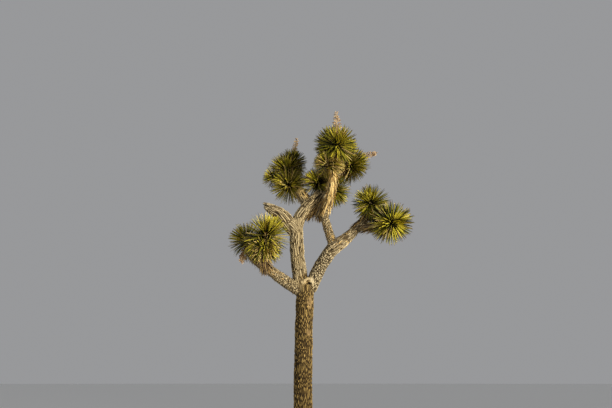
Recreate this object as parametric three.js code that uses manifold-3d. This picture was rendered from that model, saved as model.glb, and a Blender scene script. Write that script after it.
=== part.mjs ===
// A Joshua tree. A slim trunk with a root flare forks into a few stout boughs. Each bough ends in balls of
// stiff, dagger-shaped leaves, with skirts of dead leaves hanging under some of them and four dry flower stalks.
// Millimetres, +Z up, +X to the right, -Y towards the viewer. The origin is the middle of the flat cut at the ground.
import * as THREE from "three";
import { mergeVertices } from "three/addons/utils/BufferGeometryUtils.js";
import Module from "manifold-3d";

const wasm = await Module();
wasm.setup();

// Driving dimensions of the trunk: it leans a little to the right, flares at the root and swells under the fork
const FORK_HEIGHT = 2700;
const TRUNK_LINE = [[0, 0, 0], [0, 0, 400], [6, 0, 1500], [24, 0, 2300], [42, 0, FORK_HEIGHT]];
const TRUNK_RADIUS = 128;
const FORK_SWELL = 14;
const FORK_SWELL_FROM = 2000;
const FORK_SWELL_TO = 2500;
const ROOT_FLARE = 92;
const ROOT_FLARE_HEIGHT = 210;
const ROOT_LOBES = 5;
const ROOT_LOBE_DEPTH = 0.2;

// Bark, skirts, stalks and balls depart from round by about these shares of their radius
const BARK_UNEVEN = 0.04;
const SKIRT_RAGGED = 0.12;
const STALK_UNEVEN = 0.1;
const TUFT_DEPTH = 0.05;
// Share of a limb's length over which its tip is rounded off
const TRUNK_TIP = 0.05;
const LIMB_TIP = 0.12;

// The leaves at the tip lean forward, so a ball reaches this share of a leaf past its growing tip
const FORWARD_SHARE = 0.72;
// The oldest leaves lie back along the stem by this share
const BACKWARD_SHARE = 0.4;

// Left between neighbours that meet
const GAP = 2;
// Cut edges may move by this much to be rid of slivers
const SMOOTHED = 0.8;
// Fineness of the faceted solids
const TRUNK_SIDES = 16;
const TRUNK_STEPS = 12;
const LIMB_SIDES = 8;
const STEPS_PER_POINT = 2;
const STALK_SIDES = 6;
const BALL_DETAIL = 3;

const bark = new THREE.MeshStandardMaterial({ name: "bark", color: 0x9a7f56, roughness: 0.95, metalness: 0 });
const leaf = new THREE.MeshStandardMaterial({ name: "leaf", color: 0x7d7a30, roughness: 0.6, metalness: 0 });
const straw = new THREE.MeshStandardMaterial({ name: "dead_leaf", color: 0xc39f5d, roughness: 0.8, metalness: 0 });
const stalk = new THREE.MeshStandardMaterial({ name: "flower_stalk", color: 0xb4946a, roughness: 0.85, metalness: 0 });

// Limbs above the trunk, each after the one that it grows from: points of its middle line, its radii at even
// spaces along it, and the balls of leaves that it runs through. Only what shows outside those is kept.
const LIMBS = {
  bough_left: { line: [[-22, 0, 2600], [-92, 50, 3145], [-118, 100, 3660]], radii: [118, 108] },
  bough_left_stub: {
    line: [[-126, 90, 3554], [-259, 62, 3699], [-392, 25, 3838], [-532, -30, 3906], [-632, -60, 3943]],
    radii: [120, 122, 124, 92, 62],
  },
  bough_upper: {
    line: [[-121, 100, 3596], [-67, 118, 3788], [61, 145, 3991], [225, 187, 4180], [401, 240, 4390]],
    radii: [102, 108, 108, 102],
  },
  bough_right: { line: [[95, 0, 2590], [276, -52, 2940], [478, -137, 3240]], radii: [102, 103] },
  bough_right_upper: { line: [[440, -125, 3185], [668, -165, 3345], [916, -211, 3584]], radii: [110, 62] },
  bough_inner: { line: [[470, -132, 3235], [396, -121, 3504], [333, -100, 3750]], radii: [75, 64] },
  bough_low_left: { line: [[-40, -10, 2560], [-420, -135, 2790], [-760, -300, 3012]], radii: [92, 70] },
  stem_crown: {
    line: [[337, -102, 3715], [436, -80, 4060], [512, -60, 4640], [545, -10, 4870], [566, 35, 5080]],
    radii: [66, 58, 52, 48, 46],
    through: ["leaves_crown_front", "leaves_crown_lower", "leaves_crown_top", "leaves_crown_far"],
  },
  stem_crown_right: {
    line: [[380, 233, 4390], [600, 318, 4680], [815, 372, 4900]], radii: [78, 52], through: ["leaves_crown_right"],
  },
  stem_crown_rear: {
    line: [[445, 262, 4475], [452, 480, 4630], [432, 660, 4740]], radii: [64, 47], through: ["leaves_crown_rear"],
  },
  stem_right_inner: {
    line: [[870, -206, 3535], [1003, -200, 3690], [1105, -180, 3835]], radii: [54, 42],
    through: ["leaves_right_inner"],
  },
  stem_right_outer: {
    line: [[862, -204, 3520], [1095, -280, 3522], [1290, -352, 3536]], radii: [62, 48],
    through: ["leaves_right_outer"],
  },
  bough_rear: {
    line: [[70, 150, 3985], [-40, 330, 4300], [-148, 480, 4560]], radii: [82, 66], through: ["leaves_rear_front"],
  },
  stem_rear_top: {
    line: [[-146, 478, 4550], [-190, 600, 4830], [-218, 690, 5070]], radii: [62, 45],
    through: ["leaves_rear_front", "leaves_rear_middle", "leaves_rear_top"],
  },
  stem_low_front: {
    line: [[-735, -290, 2990], [-725, -312, 3100], [-640, -350, 3190]], radii: [64, 49],
    through: ["leaves_left_front"],
  },
  stem_low_rear: {
    line: [[-745, -295, 3000], [-815, -140, 3160], [-835, 0, 3300]], radii: [60, 45], through: ["leaves_left_rear"],
  },
};

// Balls of live leaves: where the leaves start on the stem, the growing tip, and how far the leaves reach.
const BALLS = {
  leaves_left_front: { base: [-609, -330, 3204], tip: [-506, -520, 3346], reach: 345 },
  leaves_left_rear: { base: [-841, 5, 3321], tip: [-951, 30, 3435], reach: 280 },
  leaves_right_inner: { base: [1112, -180, 3856], tip: [1042, -340, 3929], reach: 285 },
  leaves_right_outer: { base: [1300, -350, 3536], tip: [1368, -550, 3468], reach: 300 },
  leaves_crown_front: { base: [551, -60, 4985], tip: [598, -330, 5030], reach: 330 },
  leaves_crown_top: { base: [532, 35, 5042], tip: [475, 70, 5303], reach: 300 },
  leaves_crown_far: { base: [580, 50, 4930], tip: [806, 90, 5137], reach: 250 },
  leaves_crown_lower: { base: [481, -80, 4677], tip: [343, -130, 4702], reach: 250 },
  leaves_crown_right: { base: [801, 370, 4884], tip: [968, 380, 5030], reach: 310 },
  leaves_crown_low: { base: [500, 335, 4440], tip: [570, 440, 4410], reach: 290 },
  leaves_crown_rear: { base: [432, 680, 4755], tip: [415, 800, 4870], reach: 290 },
  leaves_crown_left: { base: [300, 236, 4460], tip: [190, 210, 4560], reach: 280 },
  leaves_rear_front: { base: [-200, 475, 4560], tip: [-330, 370, 4550], reach: 320 },
  leaves_rear_middle: { base: [-290, 590, 4880], tip: [-370, 615, 5040], reach: 320 },
  leaves_rear_left: { base: [-502, 555, 4766], tip: [-605, 550, 4792], reach: 220 },
  leaves_rear_top: { base: [-222, 700, 5080], tip: [-215, 742, 5259], reach: 270 },
};

// Skirts of dead leaves that hang along a stem: the line down their middle from the top, and their radii.
const SKIRTS = {
  skirt_crown: { line: [[508, -62, 4620], [472, -72, 4235], [372, -96, 3820]], radii: [106, 98] },
  skirt_inner: { line: [[352, 120, 4150], [293, 60, 3976], [259, 20, 3799]], radii: [104, 100] },
  skirt_left: { line: [[-607, -345, 3199], [-603, -360, 3024], [-540, -350, 2830]], radii: [160, 140] },
  skirt_rear: { line: [[-94, 400, 4453], [-7, 318, 4289], [60, 262, 4149]], radii: [120, 114] },
  skirt_right: { line: [[1270, -345, 3535], [1120, -288, 3522], [970, -240, 3515]], radii: [102, 90] },
};

// Dry flower stalks: the line of the stem from its foot, and the reach of the side twigs at the foot.
const STALKS = {
  stalk_crown_top: { line: [[590, -350, 5035], [570, -420, 5197], [573, -340, 5572]], reach: 105 },
  stalk_crown_right: { line: [[1021, 395, 5140], [1191, 400, 5171], [1352, 400, 5212]], reach: 90 },
  stalk_rear_top: { line: [[-192, 752, 5292], [-179, 752, 5518], [-134, 752, 5745]], reach: 85 },
  stalk_left: { line: [[-860, -90, 3239], [-897, -220, 3065], [-919, -320, 2919]], reach: 95 },
};

const vector = (point) => new THREE.Vector3(...point);

// A shape's closed solid. Only positions are kept, so that vertices along seams merge.
function solidOf(geometry) {
  geometry.deleteAttribute("normal");
  geometry.deleteAttribute("uv");
  const merged = mergeVertices(geometry, 1e-3);
  return new wasm.Manifold(
    new wasm.Mesh({
      numProp: 3,
      vertProperties: merged.getAttribute("position").array,
      triVerts: new Uint32Array(merged.index.array),
    }),
  );
}

// A closed tube along a curve. radiusAt gives its radius at a share t of the length and an angle round it.
// Both the tube's side and its two ends stand out by grow.
function tube(curve, radiusAt, sides, steps, grow) {
  const shape = new THREE.CylinderGeometry(1, 1, 1, sides, steps);
  const frames = curve.computeFrenetFrames(steps);
  const place = shape.getAttribute("position");
  for (let i = 0; i < place.count; i++) {
    const t = place.getY(i) + 0.5;
    const step = Math.round(t * steps);
    const angle = Math.atan2(place.getZ(i), place.getX(i));
    const radius = Math.hypot(place.getX(i), place.getZ(i)) * (radiusAt(t, angle) + grow);
    const past = grow * ((step === steps) - (step === 0));
    const point = curve
      .getPointAt(t)
      .addScaledVector(frames.tangents[step], past)
      .addScaledVector(frames.normals[step], radius * Math.cos(angle))
      .addScaledVector(frames.binormals[step], -radius * Math.sin(angle));
    place.setXYZ(i, point.x, point.y, point.z);
  }
  return solidOf(shape);
}

const curveThrough = (line) => new THREE.CatmullRomCurve3(line.map(vector), false, "centripetal");

// Steps of a tube along a line, by how many points the line has.
const stepsFor = (line) => STEPS_PER_POINT * (line.length - 1);

// The radius at a share t along a limb, between those given at even spaces.
function radiusBetween(radii, t) {
  const place = t * (radii.length - 1);
  const index = Math.min(Math.floor(place), radii.length - 2);
  return THREE.MathUtils.lerp(radii[index], radii[index + 1], place - index);
}

// The rounded end of a limb: 1 along the limb, falling towards its tip.
function dome(t, share) {
  const into = Math.max(0, (t - (1 - share)) / share);
  return Math.sqrt(1 - 0.8 * into * into);
}

// How far bark departs from round at an angle, as it changes along a limb: two or three blunt ridges that wander.
function uneven(along, angle, seed) {
  return 1 + BARK_UNEVEN * (Math.sin(2 * angle + along + seed) + 0.7 * Math.sin(3 * angle - 1.8 * along + 2 * seed));
}

// The trunk stands on its flat cut, with root lobes round its foot.
function trunk(grow) {
  const radiusAt = (t, angle) => {
    const height = t * FORK_HEIGHT;
    const lobes = 1 + ROOT_LOBE_DEPTH * Math.cos(ROOT_LOBES * angle + 0.6);
    const flare = ROOT_FLARE * Math.exp(-height / ROOT_FLARE_HEIGHT) * lobes;
    const swell = FORK_SWELL * THREE.MathUtils.smoothstep(height, FORK_SWELL_FROM, FORK_SWELL_TO);
    return (TRUNK_RADIUS + flare + swell) * uneven(10 * t, angle, 0) * dome(t, TRUNK_TIP);
  };
  return tube(curveThrough(TRUNK_LINE), radiusAt, TRUNK_SIDES, TRUNK_STEPS, grow);
}

// A tapering limb with a slightly uneven bark line.
function limb({ line, radii }, seed, grow) {
  const radiusAt = (t, angle) => radiusBetween(radii, t) * uneven(5 * t, angle, seed) * dome(t, LIMB_TIP);
  return tube(curveThrough(line), radiusAt, LIMB_SIDES, stepsFor(line), grow);
}

// A hanging skirt: it starts under the leaves, fills out, and ends ragged.
function skirt({ line, radii }, seed, grow) {
  const radiusAt = (t, angle) => {
    const ragged = 1 + SKIRT_RAGGED * (t * Math.sin(5 * angle + seed) + 0.5 * Math.sin(3 * angle + 8 * t));
    const fill = Math.sin(Math.PI * THREE.MathUtils.lerp(0.28, 0.8, t));
    return radiusBetween(radii, t) * fill * ragged;
  };
  return tube(curveThrough(line), radiusAt, LIMB_SIDES, stepsFor(line), grow);
}

// A dry flower stalk with its side twigs, as an uneven cone.
function flowerStalk({ line, reach }, seed, grow) {
  const radiusAt = (t, angle) =>
    reach * Math.pow(1 - 0.93 * t, 0.8) * (1 + STALK_UNEVEN * Math.sin(3 * angle + 7 * t + seed));
  return tube(curveThrough(line), radiusAt, STALK_SIDES, stepsFor(line), grow);
}

// A ball of leaves: longer along its stem than across, with the tufts of its leaf tips as shallow lumps.
function leafBall({ base, tip, reach }, seed, grow) {
  const axis = vector(tip).sub(vector(base));
  const length = axis.length();
  axis.normalize();
  const centre = vector(base).addScaledVector(axis, length * 0.5);
  const ahead = length * 0.5 + reach * FORWARD_SHARE;
  const behind = length * 0.5 + reach * BACKWARD_SHARE;
  const shape = new THREE.IcosahedronGeometry(1, BALL_DETAIL);
  const place = shape.getAttribute("position");
  const direction = new THREE.Vector3();
  for (let i = 0; i < place.count; i++) {
    direction.fromBufferAttribute(place, i);
    const along = direction.dot(axis);
    const across = Math.sin(9 * direction.x + seed) * Math.sin(9 * direction.y + 2 * seed);
    const upwards = Math.sin(8 * direction.z + 3 * seed) * Math.sin(7 * direction.x - seed);
    const point = direction
      .clone()
      .addScaledVector(axis, -along)
      .multiplyScalar(reach)
      .addScaledVector(axis, along * (along > 0 ? ahead : behind))
      .multiplyScalar(1 + TUFT_DEPTH * (across + upwards))
      .addScaledVector(direction, grow)
      .add(centre);
    place.setXYZ(i, point.x, point.y, point.z);
  }
  return solidOf(shape);
}

// Each piece as it grows, and again a gap wider, which is what its neighbours are cut by.
function grownSet(specs, make) {
  return Object.fromEntries(
    Object.entries(specs).map(([name, spec], index) => [
      name,
      { solid: make(spec, index + 1, 0), cutter: make(spec, index + 1, GAP), spec },
    ]),
  );
}

// What is left of a piece once its neighbours are cut out of it, without loose crumbs.
function cutBy(piece, cutters) {
  const left = cutters.reduce((solid, cutter) => solid.subtract(cutter), piece).simplify(SMOOTHED);
  const bodies = left.decompose();
  return bodies.reduce((largest, body) => (body.volume() > largest.volume() ? body : largest));
}

// A cut solid as a named mesh.
function meshOf(name, solid, material) {
  const { vertProperties, triVerts } = solid.getMesh();
  const geometry = new THREE.BufferGeometry();
  geometry.setAttribute("position", new THREE.BufferAttribute(vertProperties, 3));
  geometry.setIndex(new THREE.BufferAttribute(triVerts, 1));
  geometry.computeVertexNormals();
  const mesh = new THREE.Mesh(geometry, material);
  mesh.name = name;
  return mesh;
}

const wood = {
  trunk: { solid: trunk(0), cutter: trunk(GAP), spec: {} },
  ...grownSet(LIMBS, limb),
};
const balls = grownSet(BALLS, leafBall);
const skirts = grownSet(SKIRTS, skirt);
const stalks = grownSet(STALKS, flowerStalk);
const tree = new THREE.Group();

// A limb is cut where it leaves an earlier one, and where it enters a ball of its own leaves.
const woodNames = Object.keys(wood);
woodNames.forEach((name, index) => {
  const { solid, spec } = wood[name];
  const earlier = woodNames.slice(0, index).map((other) => wood[other].cutter);
  const entered = (spec.through ?? []).map((ball) => balls[ball].cutter);
  tree.add(meshOf(name, cutBy(solid, [...earlier, ...entered]), bark));
});

// A ball of leaves is cut round every other limb that touches it, and by the balls before it.
const ballNames = Object.keys(balls);
ballNames.forEach((name, index) => {
  const passing = woodNames.filter((other) => !(wood[other].spec.through ?? []).includes(name));
  const cutters = [
    ...passing.map((other) => wood[other].cutter),
    ...ballNames.slice(0, index).map((other) => balls[other].cutter),
  ];
  tree.add(meshOf(name, cutBy(balls[name].solid, cutters), leaf));
});

// Skirts and stalks give way to everything else.
const woodAndBalls = [...Object.values(wood), ...Object.values(balls)].map((piece) => piece.cutter);
for (const [name, piece] of Object.entries(skirts)) {
  tree.add(meshOf(name, cutBy(piece.solid, woodAndBalls), straw));
}
const allButStalks = [...woodAndBalls, ...Object.values(skirts).map((piece) => piece.cutter)];
for (const [name, piece] of Object.entries(stalks)) {
  tree.add(meshOf(name, cutBy(piece.solid, allButStalks), stalk));
}

export default tree;
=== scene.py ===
"""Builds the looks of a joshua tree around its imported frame: bark in relief, balls of stiff leaves,
hanging dead leaves, old leaf bases and dry flower stalks, on a plain stage."""

import math

import bmesh
import bpy
import numpy as np
from bpy.props import FloatProperty, FloatVectorProperty, IntProperty, PointerProperty
from mathutils import Matrix, Vector


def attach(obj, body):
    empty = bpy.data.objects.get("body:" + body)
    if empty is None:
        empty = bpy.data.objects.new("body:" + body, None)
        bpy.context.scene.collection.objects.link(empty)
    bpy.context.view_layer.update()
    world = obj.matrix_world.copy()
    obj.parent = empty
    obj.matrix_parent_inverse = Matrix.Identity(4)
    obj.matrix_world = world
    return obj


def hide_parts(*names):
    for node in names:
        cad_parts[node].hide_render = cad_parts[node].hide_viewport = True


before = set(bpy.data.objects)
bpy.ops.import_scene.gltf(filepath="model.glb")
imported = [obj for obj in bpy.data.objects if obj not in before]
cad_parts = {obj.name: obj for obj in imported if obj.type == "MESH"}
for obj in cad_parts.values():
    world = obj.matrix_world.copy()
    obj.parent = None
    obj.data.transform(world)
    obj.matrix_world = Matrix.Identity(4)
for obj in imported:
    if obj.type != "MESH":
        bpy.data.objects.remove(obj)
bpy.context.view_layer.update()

bl_info = {
    "name": "Joshua Tree",
    "version": (1, 0, 0),
    "blender": (4, 5, 0),
    "location": "3D View > Sidebar > Tree",
    "description": "Bark, leaves, hanging dead leaves and dry flower stalks of a joshua tree",
    "category": "Add Mesh",
}

BODY = "root"

# Every limb's centre line, its radius at its foot and its tip, and the kind of bark on it. Lengths are in
# metres. The trunk stands on its flat cut at the origin, and its foot goes on below it until it is cut.
LIMBS = {
    "trunk": (
        ((0, 0, 0), (0, 0, 0.4), (0.006, 0, 1.5), (0.024, 0, 2.3), (0.042, 0, 2.7)),
        (0.126, 0.132), "old",
    ),
    "bough_left": (
        ((-0.022, 0, 2.6), (-0.092, 0.05, 3.145), (-0.118, 0.1, 3.66)),
        (0.116, 0.106), "ridged",
    ),
    "bough_left_stub": (
        (
            (-0.126, 0.09, 3.554), (-0.259, 0.062, 3.699), (-0.392, 0.025, 3.838),
            (-0.532, -0.03, 3.906), (-0.632, -0.06, 3.943),
        ),
        (0.118, 0.12, 0.122, 0.09, 0.06), "ridged",
    ),
    "bough_upper": (
        (
            (-0.121, 0.1, 3.596), (-0.067, 0.118, 3.788), (0.061, 0.145, 3.991),
            (0.225, 0.187, 4.18), (0.401, 0.24, 4.39),
        ),
        (0.1, 0.106, 0.106, 0.1), "ridged",
    ),
    "bough_right": (
        ((0.095, 0, 2.59), (0.276, -0.052, 2.94), (0.478, -0.137, 3.24)),
        (0.1, 0.101), "plated",
    ),
    "bough_right_upper": (
        ((0.44, -0.125, 3.185), (0.668, -0.165, 3.345), (0.916, -0.211, 3.584)),
        (0.108, 0.06), "ridged",
    ),
    "bough_inner": (
        ((0.47, -0.132, 3.235), (0.396, -0.121, 3.504), (0.333, -0.1, 3.75)),
        (0.073, 0.062), "young",
    ),
    "bough_low_left": (
        ((-0.04, -0.01, 2.56), (-0.42, -0.135, 2.79), (-0.76, -0.3, 3.012)),
        (0.09, 0.068), "young",
    ),
    "bough_rear": (
        ((0.07, 0.15, 3.985), (-0.04, 0.33, 4.3), (-0.148, 0.48, 4.56)),
        (0.08, 0.064), "ridged",
    ),
    "stem_crown": (
        ((0.337, -0.102, 3.715), (0.436, -0.08, 4.06), (0.512, -0.06, 4.64)),
        (0.064, 0.05), "young",
    ),
    "stem_crown_top": (
        ((0.51, -0.06, 4.63), (0.545, -0.01, 4.87), (0.566, 0.035, 5.08)),
        (0.05, 0.044), "young",
    ),
    "stem_crown_right": (
        ((0.38, 0.233, 4.39), (0.6, 0.318, 4.68), (0.815, 0.372, 4.9)),
        (0.076, 0.05), "young",
    ),
    "stem_crown_rear": (
        ((0.445, 0.262, 4.475), (0.452, 0.48, 4.63), (0.432, 0.66, 4.74)),
        (0.062, 0.045), "young",
    ),
    "stem_crown_low": (
        ((0.4, 0.242, 4.42), (0.455, 0.29, 4.43), (0.5, 0.335, 4.44)),
        (0.055, 0.045), "young",
    ),
    "stem_crown_left": (
        ((0.392, 0.239, 4.41), (0.345, 0.237, 4.435), (0.3, 0.236, 4.46)),
        (0.055, 0.044), "young",
    ),
    "stem_right_inner": (
        ((0.87, -0.206, 3.535), (1.003, -0.2, 3.69), (1.105, -0.18, 3.835)),
        (0.052, 0.04), "young",
    ),
    "stem_right_outer": (
        ((0.862, -0.204, 3.52), (1.095, -0.28, 3.522), (1.29, -0.352, 3.536)),
        (0.06, 0.046), "young",
    ),
    "stem_rear_top": (
        ((-0.146, 0.478, 4.55), (-0.19, 0.6, 4.83), (-0.218, 0.69, 5.07)),
        (0.06, 0.043), "young",
    ),
    "stem_rear_middle": (
        ((-0.148, 0.48, 4.56), (-0.215, 0.54, 4.72), (-0.29, 0.59, 4.88)),
        (0.055, 0.045), "young",
    ),
    "stem_rear_left": (
        ((-0.135, 0.47, 4.54), (-0.3, 0.54, 4.68), (-0.5, 0.555, 4.765)),
        (0.056, 0.042), "young",
    ),
    "stem_low_front": (
        ((-0.735, -0.29, 2.99), (-0.725, -0.312, 3.1), (-0.64, -0.35, 3.19)),
        (0.062, 0.047), "young",
    ),
    "stem_low_rear": (
        ((-0.745, -0.295, 3.0), (-0.815, -0.14, 3.16), (-0.835, 0, 3.3)),
        (0.058, 0.043), "young",
    ),
}

# The balls of leaves: where each one's shoot starts and ends, how far its leaves reach, how many side
# shoots fork off it, which share of its leaves is dry, and how far its oldest leaves sag.
BALLS = {
    "leaves_left_front": ((-0.609, -0.33, 3.204), (-0.506, -0.52, 3.346), 0.345, 0, 0.12, 0.7),
    "left_front_low": ((-0.607, -0.33, 3.157), (-0.52, -0.43, 3.087), 0.24, 0, 0.45, 0.6),
    "leaves_left_rear": ((-0.841, 0.005, 3.321), (-0.951, 0.03, 3.435), 0.28, 0, 0.15, 0.15),
    "leaves_right_inner": ((1.112, -0.18, 3.856), (1.042, -0.34, 3.929), 0.285, 0, 0.05, 0.15),
    "leaves_right_outer": ((1.3, -0.35, 3.536), (1.368, -0.55, 3.468), 0.3, 0, 0.1, 0.15),
    "leaves_crown_front": ((0.551, -0.06, 4.985), (0.598, -0.33, 5.03), 0.33, 0, 0.05, 0.15),
    "leaves_crown_lower": ((0.481, -0.08, 4.677), (0.343, -0.13, 4.702), 0.25, 0, 0.5, 0.3),
    "crown_face_right": ((0.515, -0.08, 4.658), (0.575, -0.16, 4.68), 0.14, 0, 0.9, 0.3),
    "leaves_crown_top": ((0.532, 0.035, 5.042), (0.475, 0.07, 5.303), 0.3, 1, 0.05, 0.15),
    "leaves_crown_far": ((0.58, 0.05, 4.93), (0.806, 0.09, 5.137), 0.25, 0, 0.1, 0.15),
    "leaves_crown_right": ((0.801, 0.37, 4.884), (0.968, 0.38, 5.03), 0.31, 1, 0.12, 0.15),
    "leaves_crown_low": ((0.5, 0.335, 4.44), (0.57, 0.44, 4.41), 0.29, 0, 0.1, 0.15),
    "leaves_crown_rear": ((0.432, 0.68, 4.755), (0.415, 0.8, 4.87), 0.29, 1, 0.1, 0.15),
    "leaves_crown_left": ((0.3, 0.236, 4.46), (0.19, 0.21, 4.56), 0.28, 0, 0.25, 0.15),
    "leaves_rear_front": ((-0.2, 0.475, 4.56), (-0.33, 0.37, 4.55), 0.32, 0, 0.2, 0.15),
    "leaves_rear_middle": ((-0.29, 0.59, 4.88), (-0.37, 0.615, 5.04), 0.32, 1, 0.1, 0.15),
    "leaves_rear_left": ((-0.502, 0.555, 4.766), (-0.605, 0.55, 4.792), 0.21, 0, 0.1, 0.15),
    "leaves_rear_top": ((-0.222, 0.7, 5.08), (-0.215, 0.742, 5.259), 0.27, 0, 0.1, 0.15),
    "rear_tuft": ((-0.19, 0.742, 5.27), (-0.164, 0.7, 5.356), 0.11, 0, 0, 0.15),
}

# The skirts of dead leaves: the line each one hangs along, the radius of its stem there, how far its leaves
# stand out from the line at its start and end, how many there are, how far gravity turns them down, and how
# old they look, from 0 for golden to 1 for rotten.
SKIRTS = {
    "skirt_crown": (
        ((0.508, -0.062, 4.61), (0.472, -0.072, 4.235), (0.353, -0.098, 3.786)),
        0.056, (0.096, 0.08), 480, 0.1, -0.18,
    ),
    "skirt_inner": (
        ((0.352, 0.12, 4.15), (0.293, 0.06, 3.976), (0.259, 0.02, 3.799)),
        0.035, (0.1, 0.09), 230, 0.5, 0.4,
    ),
    "shag_upper": (
        ((0.371, 0.17, 4.163), (0.276, 0.13, 4.062), (0.155, 0.1, 3.921), (0.088, 0.09, 3.836)),
        0.02, (0.07, 0.05), 150, 1.3, 0.45,
    ),
    "skirt_left": (
        ((-0.607, -0.345, 3.199), (-0.603, -0.36, 3.024), (-0.54, -0.35, 2.83)),
        0.04, (0.15, 0.12), 400, 0.6, 0.55,
    ),
    "skirt_rear": (
        ((-0.094, 0.4, 4.453), (-0.007, 0.318, 4.289), (0.06, 0.262, 4.149)),
        0.066, (0.12, 0.115), 280, 0.1, -0.5,
    ),
    "skirt_right": (
        ((1.27, -0.345, 3.535), (1.12, -0.288, 3.522), (0.97, -0.24, 3.515)),
        0.045, (0.095, 0.08), 290, 0.3, 0.6,
    ),
    "shag_right": (
        ((1.085, -0.185, 3.82), (0.97, -0.2, 3.668), (0.837, -0.205, 3.531)),
        0.05, (0.08, 0.09), 200, 0.2, 0.6,
    ),
}

# The dry flower stalks: how far each starts back in its ball, its radius at its tip, and for each the line
# that it follows from its foot and how far its side twigs reach.
STALK_SUNK = 0.06
STALK_TIP = 0.003
STALKS = {
    "stalk_crown_top": (((0.59, -0.35, 5.035), (0.57, -0.42, 5.197), (0.573, -0.34, 5.572)), 0.105),
    "stalk_crown_right": (((1.021, 0.395, 5.14), (1.191, 0.4, 5.171), (1.352, 0.4, 5.212)), 0.092),
    "stalk_rear_top": (((-0.192, 0.752, 5.292), (-0.179, 0.752, 5.518), (-0.134, 0.752, 5.745)), 0.085),
    "stalk_left": (((-0.86, -0.09, 3.239), (-0.897, -0.22, 3.065), (-0.919, -0.32, 2.919)), 0.095),
}

# The limbs that each piece of bark is made of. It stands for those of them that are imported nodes.
BARK_PIECES = {
    "bark_trunk": ("trunk",),
    "bark_trunk_foot": ("trunk",),
    "bark_left": ("bough_left", "bough_left_stub"),
    "bark_low_left": ("bough_low_left", "stem_low_front", "stem_low_rear"),
    "bark_upper": (
        "bough_upper", "stem_crown_right", "stem_crown_rear", "stem_crown_low", "stem_crown_left",
    ),
    "bark_rear": ("bough_rear", "stem_rear_top", "stem_rear_middle", "stem_rear_left"),
    "bark_right": (
        "bough_right", "bough_right_upper", "bough_inner", "stem_crown", "stem_crown_top",
        "stem_right_inner", "stem_right_outer",
    ),
}

# Where the one skin of bark is parted into those pieces: a limb, and how far along it, as a share.
BARK_CUTS = (
    ("trunk", 0.5),
    ("bough_left", 0.28),
    ("bough_right", 0.34),
    ("bough_low_left", 0.27),
    ("bough_upper", 0.2),
    ("bough_rear", 0.42),
)

# The balls whose leaves are joined into each piece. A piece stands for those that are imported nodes.
LEAF_PIECES = {
    "leaves_left": ("leaves_left_front", "left_front_low", "leaves_left_rear"),
    "leaves_right": ("leaves_right_inner", "leaves_right_outer"),
    "leaves_crown_face": (
        "leaves_crown_front", "leaves_crown_lower", "crown_face_right", "leaves_crown_top",
        "leaves_crown_far",
    ),
    "leaves_crown_back": (
        "leaves_crown_right", "leaves_crown_low", "leaves_crown_rear", "leaves_crown_left",
    ),
    "leaves_rear": (
        "leaves_rear_front", "leaves_rear_middle", "leaves_rear_left", "leaves_rear_top",
        "rear_tuft",
    ),
}
# The skirts, and then the balls with a collar of dead leaves, that are joined into each piece. The tuft at
# the rear has no collar.
DEAD_PIECES = {
    "dead_leaves_left": (("skirt_left",), LEAF_PIECES["leaves_left"]),
    "dead_leaves_crown": (
        ("skirt_crown", "skirt_inner", "shag_upper"),
        ("leaves_crown_front", "leaves_crown_top", "leaves_crown_far"),
    ),
    "dead_leaves_back": (
        ("skirt_rear",),
        LEAF_PIECES["leaves_crown_back"] + LEAF_PIECES["leaves_rear"][:-1],
    ),
    "dead_leaves_right": (("skirt_right", "shag_right"), LEAF_PIECES["leaves_right"]),
}

# The root flare: how far it stands out, how fast it dies away upwards, and its lobes.
ROOT_FLARE = 0.092
ROOT_FLARE_HEIGHT = 0.21
ROOT_LOBES = 5
ROOT_LOBE_DEPTH = 0.2
ROOT_LOBE_TURN = 0.6
BELOW_THE_CUT = 0.04

# The steps along a limb and along a short shoot, and the sides of the tubes that are drawn along them.
LIMB_STEP = 0.02
SHOOT_STEP = 0.01
LIMB_SIDES = 28
CALLUS_SIDES = 12
STALK_SIDES = 8
# A limb's end is blunt: its radius shrinks from this share of its length on, over the second share.
BLUNT_FROM = 0.93
BLUNT_LENGTH = 0.07
# The woody core of a ball: how far it starts back in its stem, and its radius at its foot and its tip.
CORE_SUNK = 0.04
CORE_RADII = (0.04, 0.022)
# How often the rough skin is smoothed, for a mesh of the size that follows.
SMOOTHINGS = 12
SMOOTHED_MESH = 0.0056

# Each kind of bark: a plate's width round the limb and length along it, the depth of the cracks, how much
# of the relief is long strands, how wide the cracks open, and how earthy its colour is.
BARKS = {
    "old": (0.021, 0.075, 0.013, 0.5, 2.0, 0.85),
    "plated": (0.023, 0.052, 0.009, 0.2, 1.7, 0.05),
    "ridged": (0.028, 0.24, 0.014, 0.95, 1.1, 0.1),
    "young": (0.019, 0.042, 0.006, 0.2, 1.5, 0.15),
}
# The reach of a limb's bark past its surface, and how softly it passes into the next limb's.
BARK_REACH = 0.14
BARK_BLEND = 0.01
LEAST_WEIGHT = 0.03
# The broken end of the left stub: how long the break is, and how ragged.
BREAK_LENGTH = 0.13
BREAK_RAGGED = 0.045
# The part of the trunk that reaches below this height is its foot.
TRUNK_FOOT_BELOW = 0.1

# Smooth worn places on the trunk: centre, half width and half height.
BARE_PATCHES = (
    ((0.1, -0.095, 2.38), 0.052, 0.13),
    ((0.086, -0.1, 1.951), 0.05, 0.065),
)
# Knots: centre, half width, half height and depth of a pit inside a raised lip. The pit takes the crack
# colour: partly the inner bark's own dark, partly painted shade in the hollow.
KNOTS = (
    ((0.052, -0.12, 2.285), 0.018, 0.022, 0.016),
    ((0.099, -0.108, 2.336), 0.013, 0.018, 0.01),
    ((0.083, -0.115, 2.496), 0.02, 0.014, 0.01),
    ((0.088, -0.1, 2.657), 0.038, 0.018, 0.032),
    ((-0.05, -0.112, 1.35), 0.02, 0.026, 0.014),
)
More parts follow.
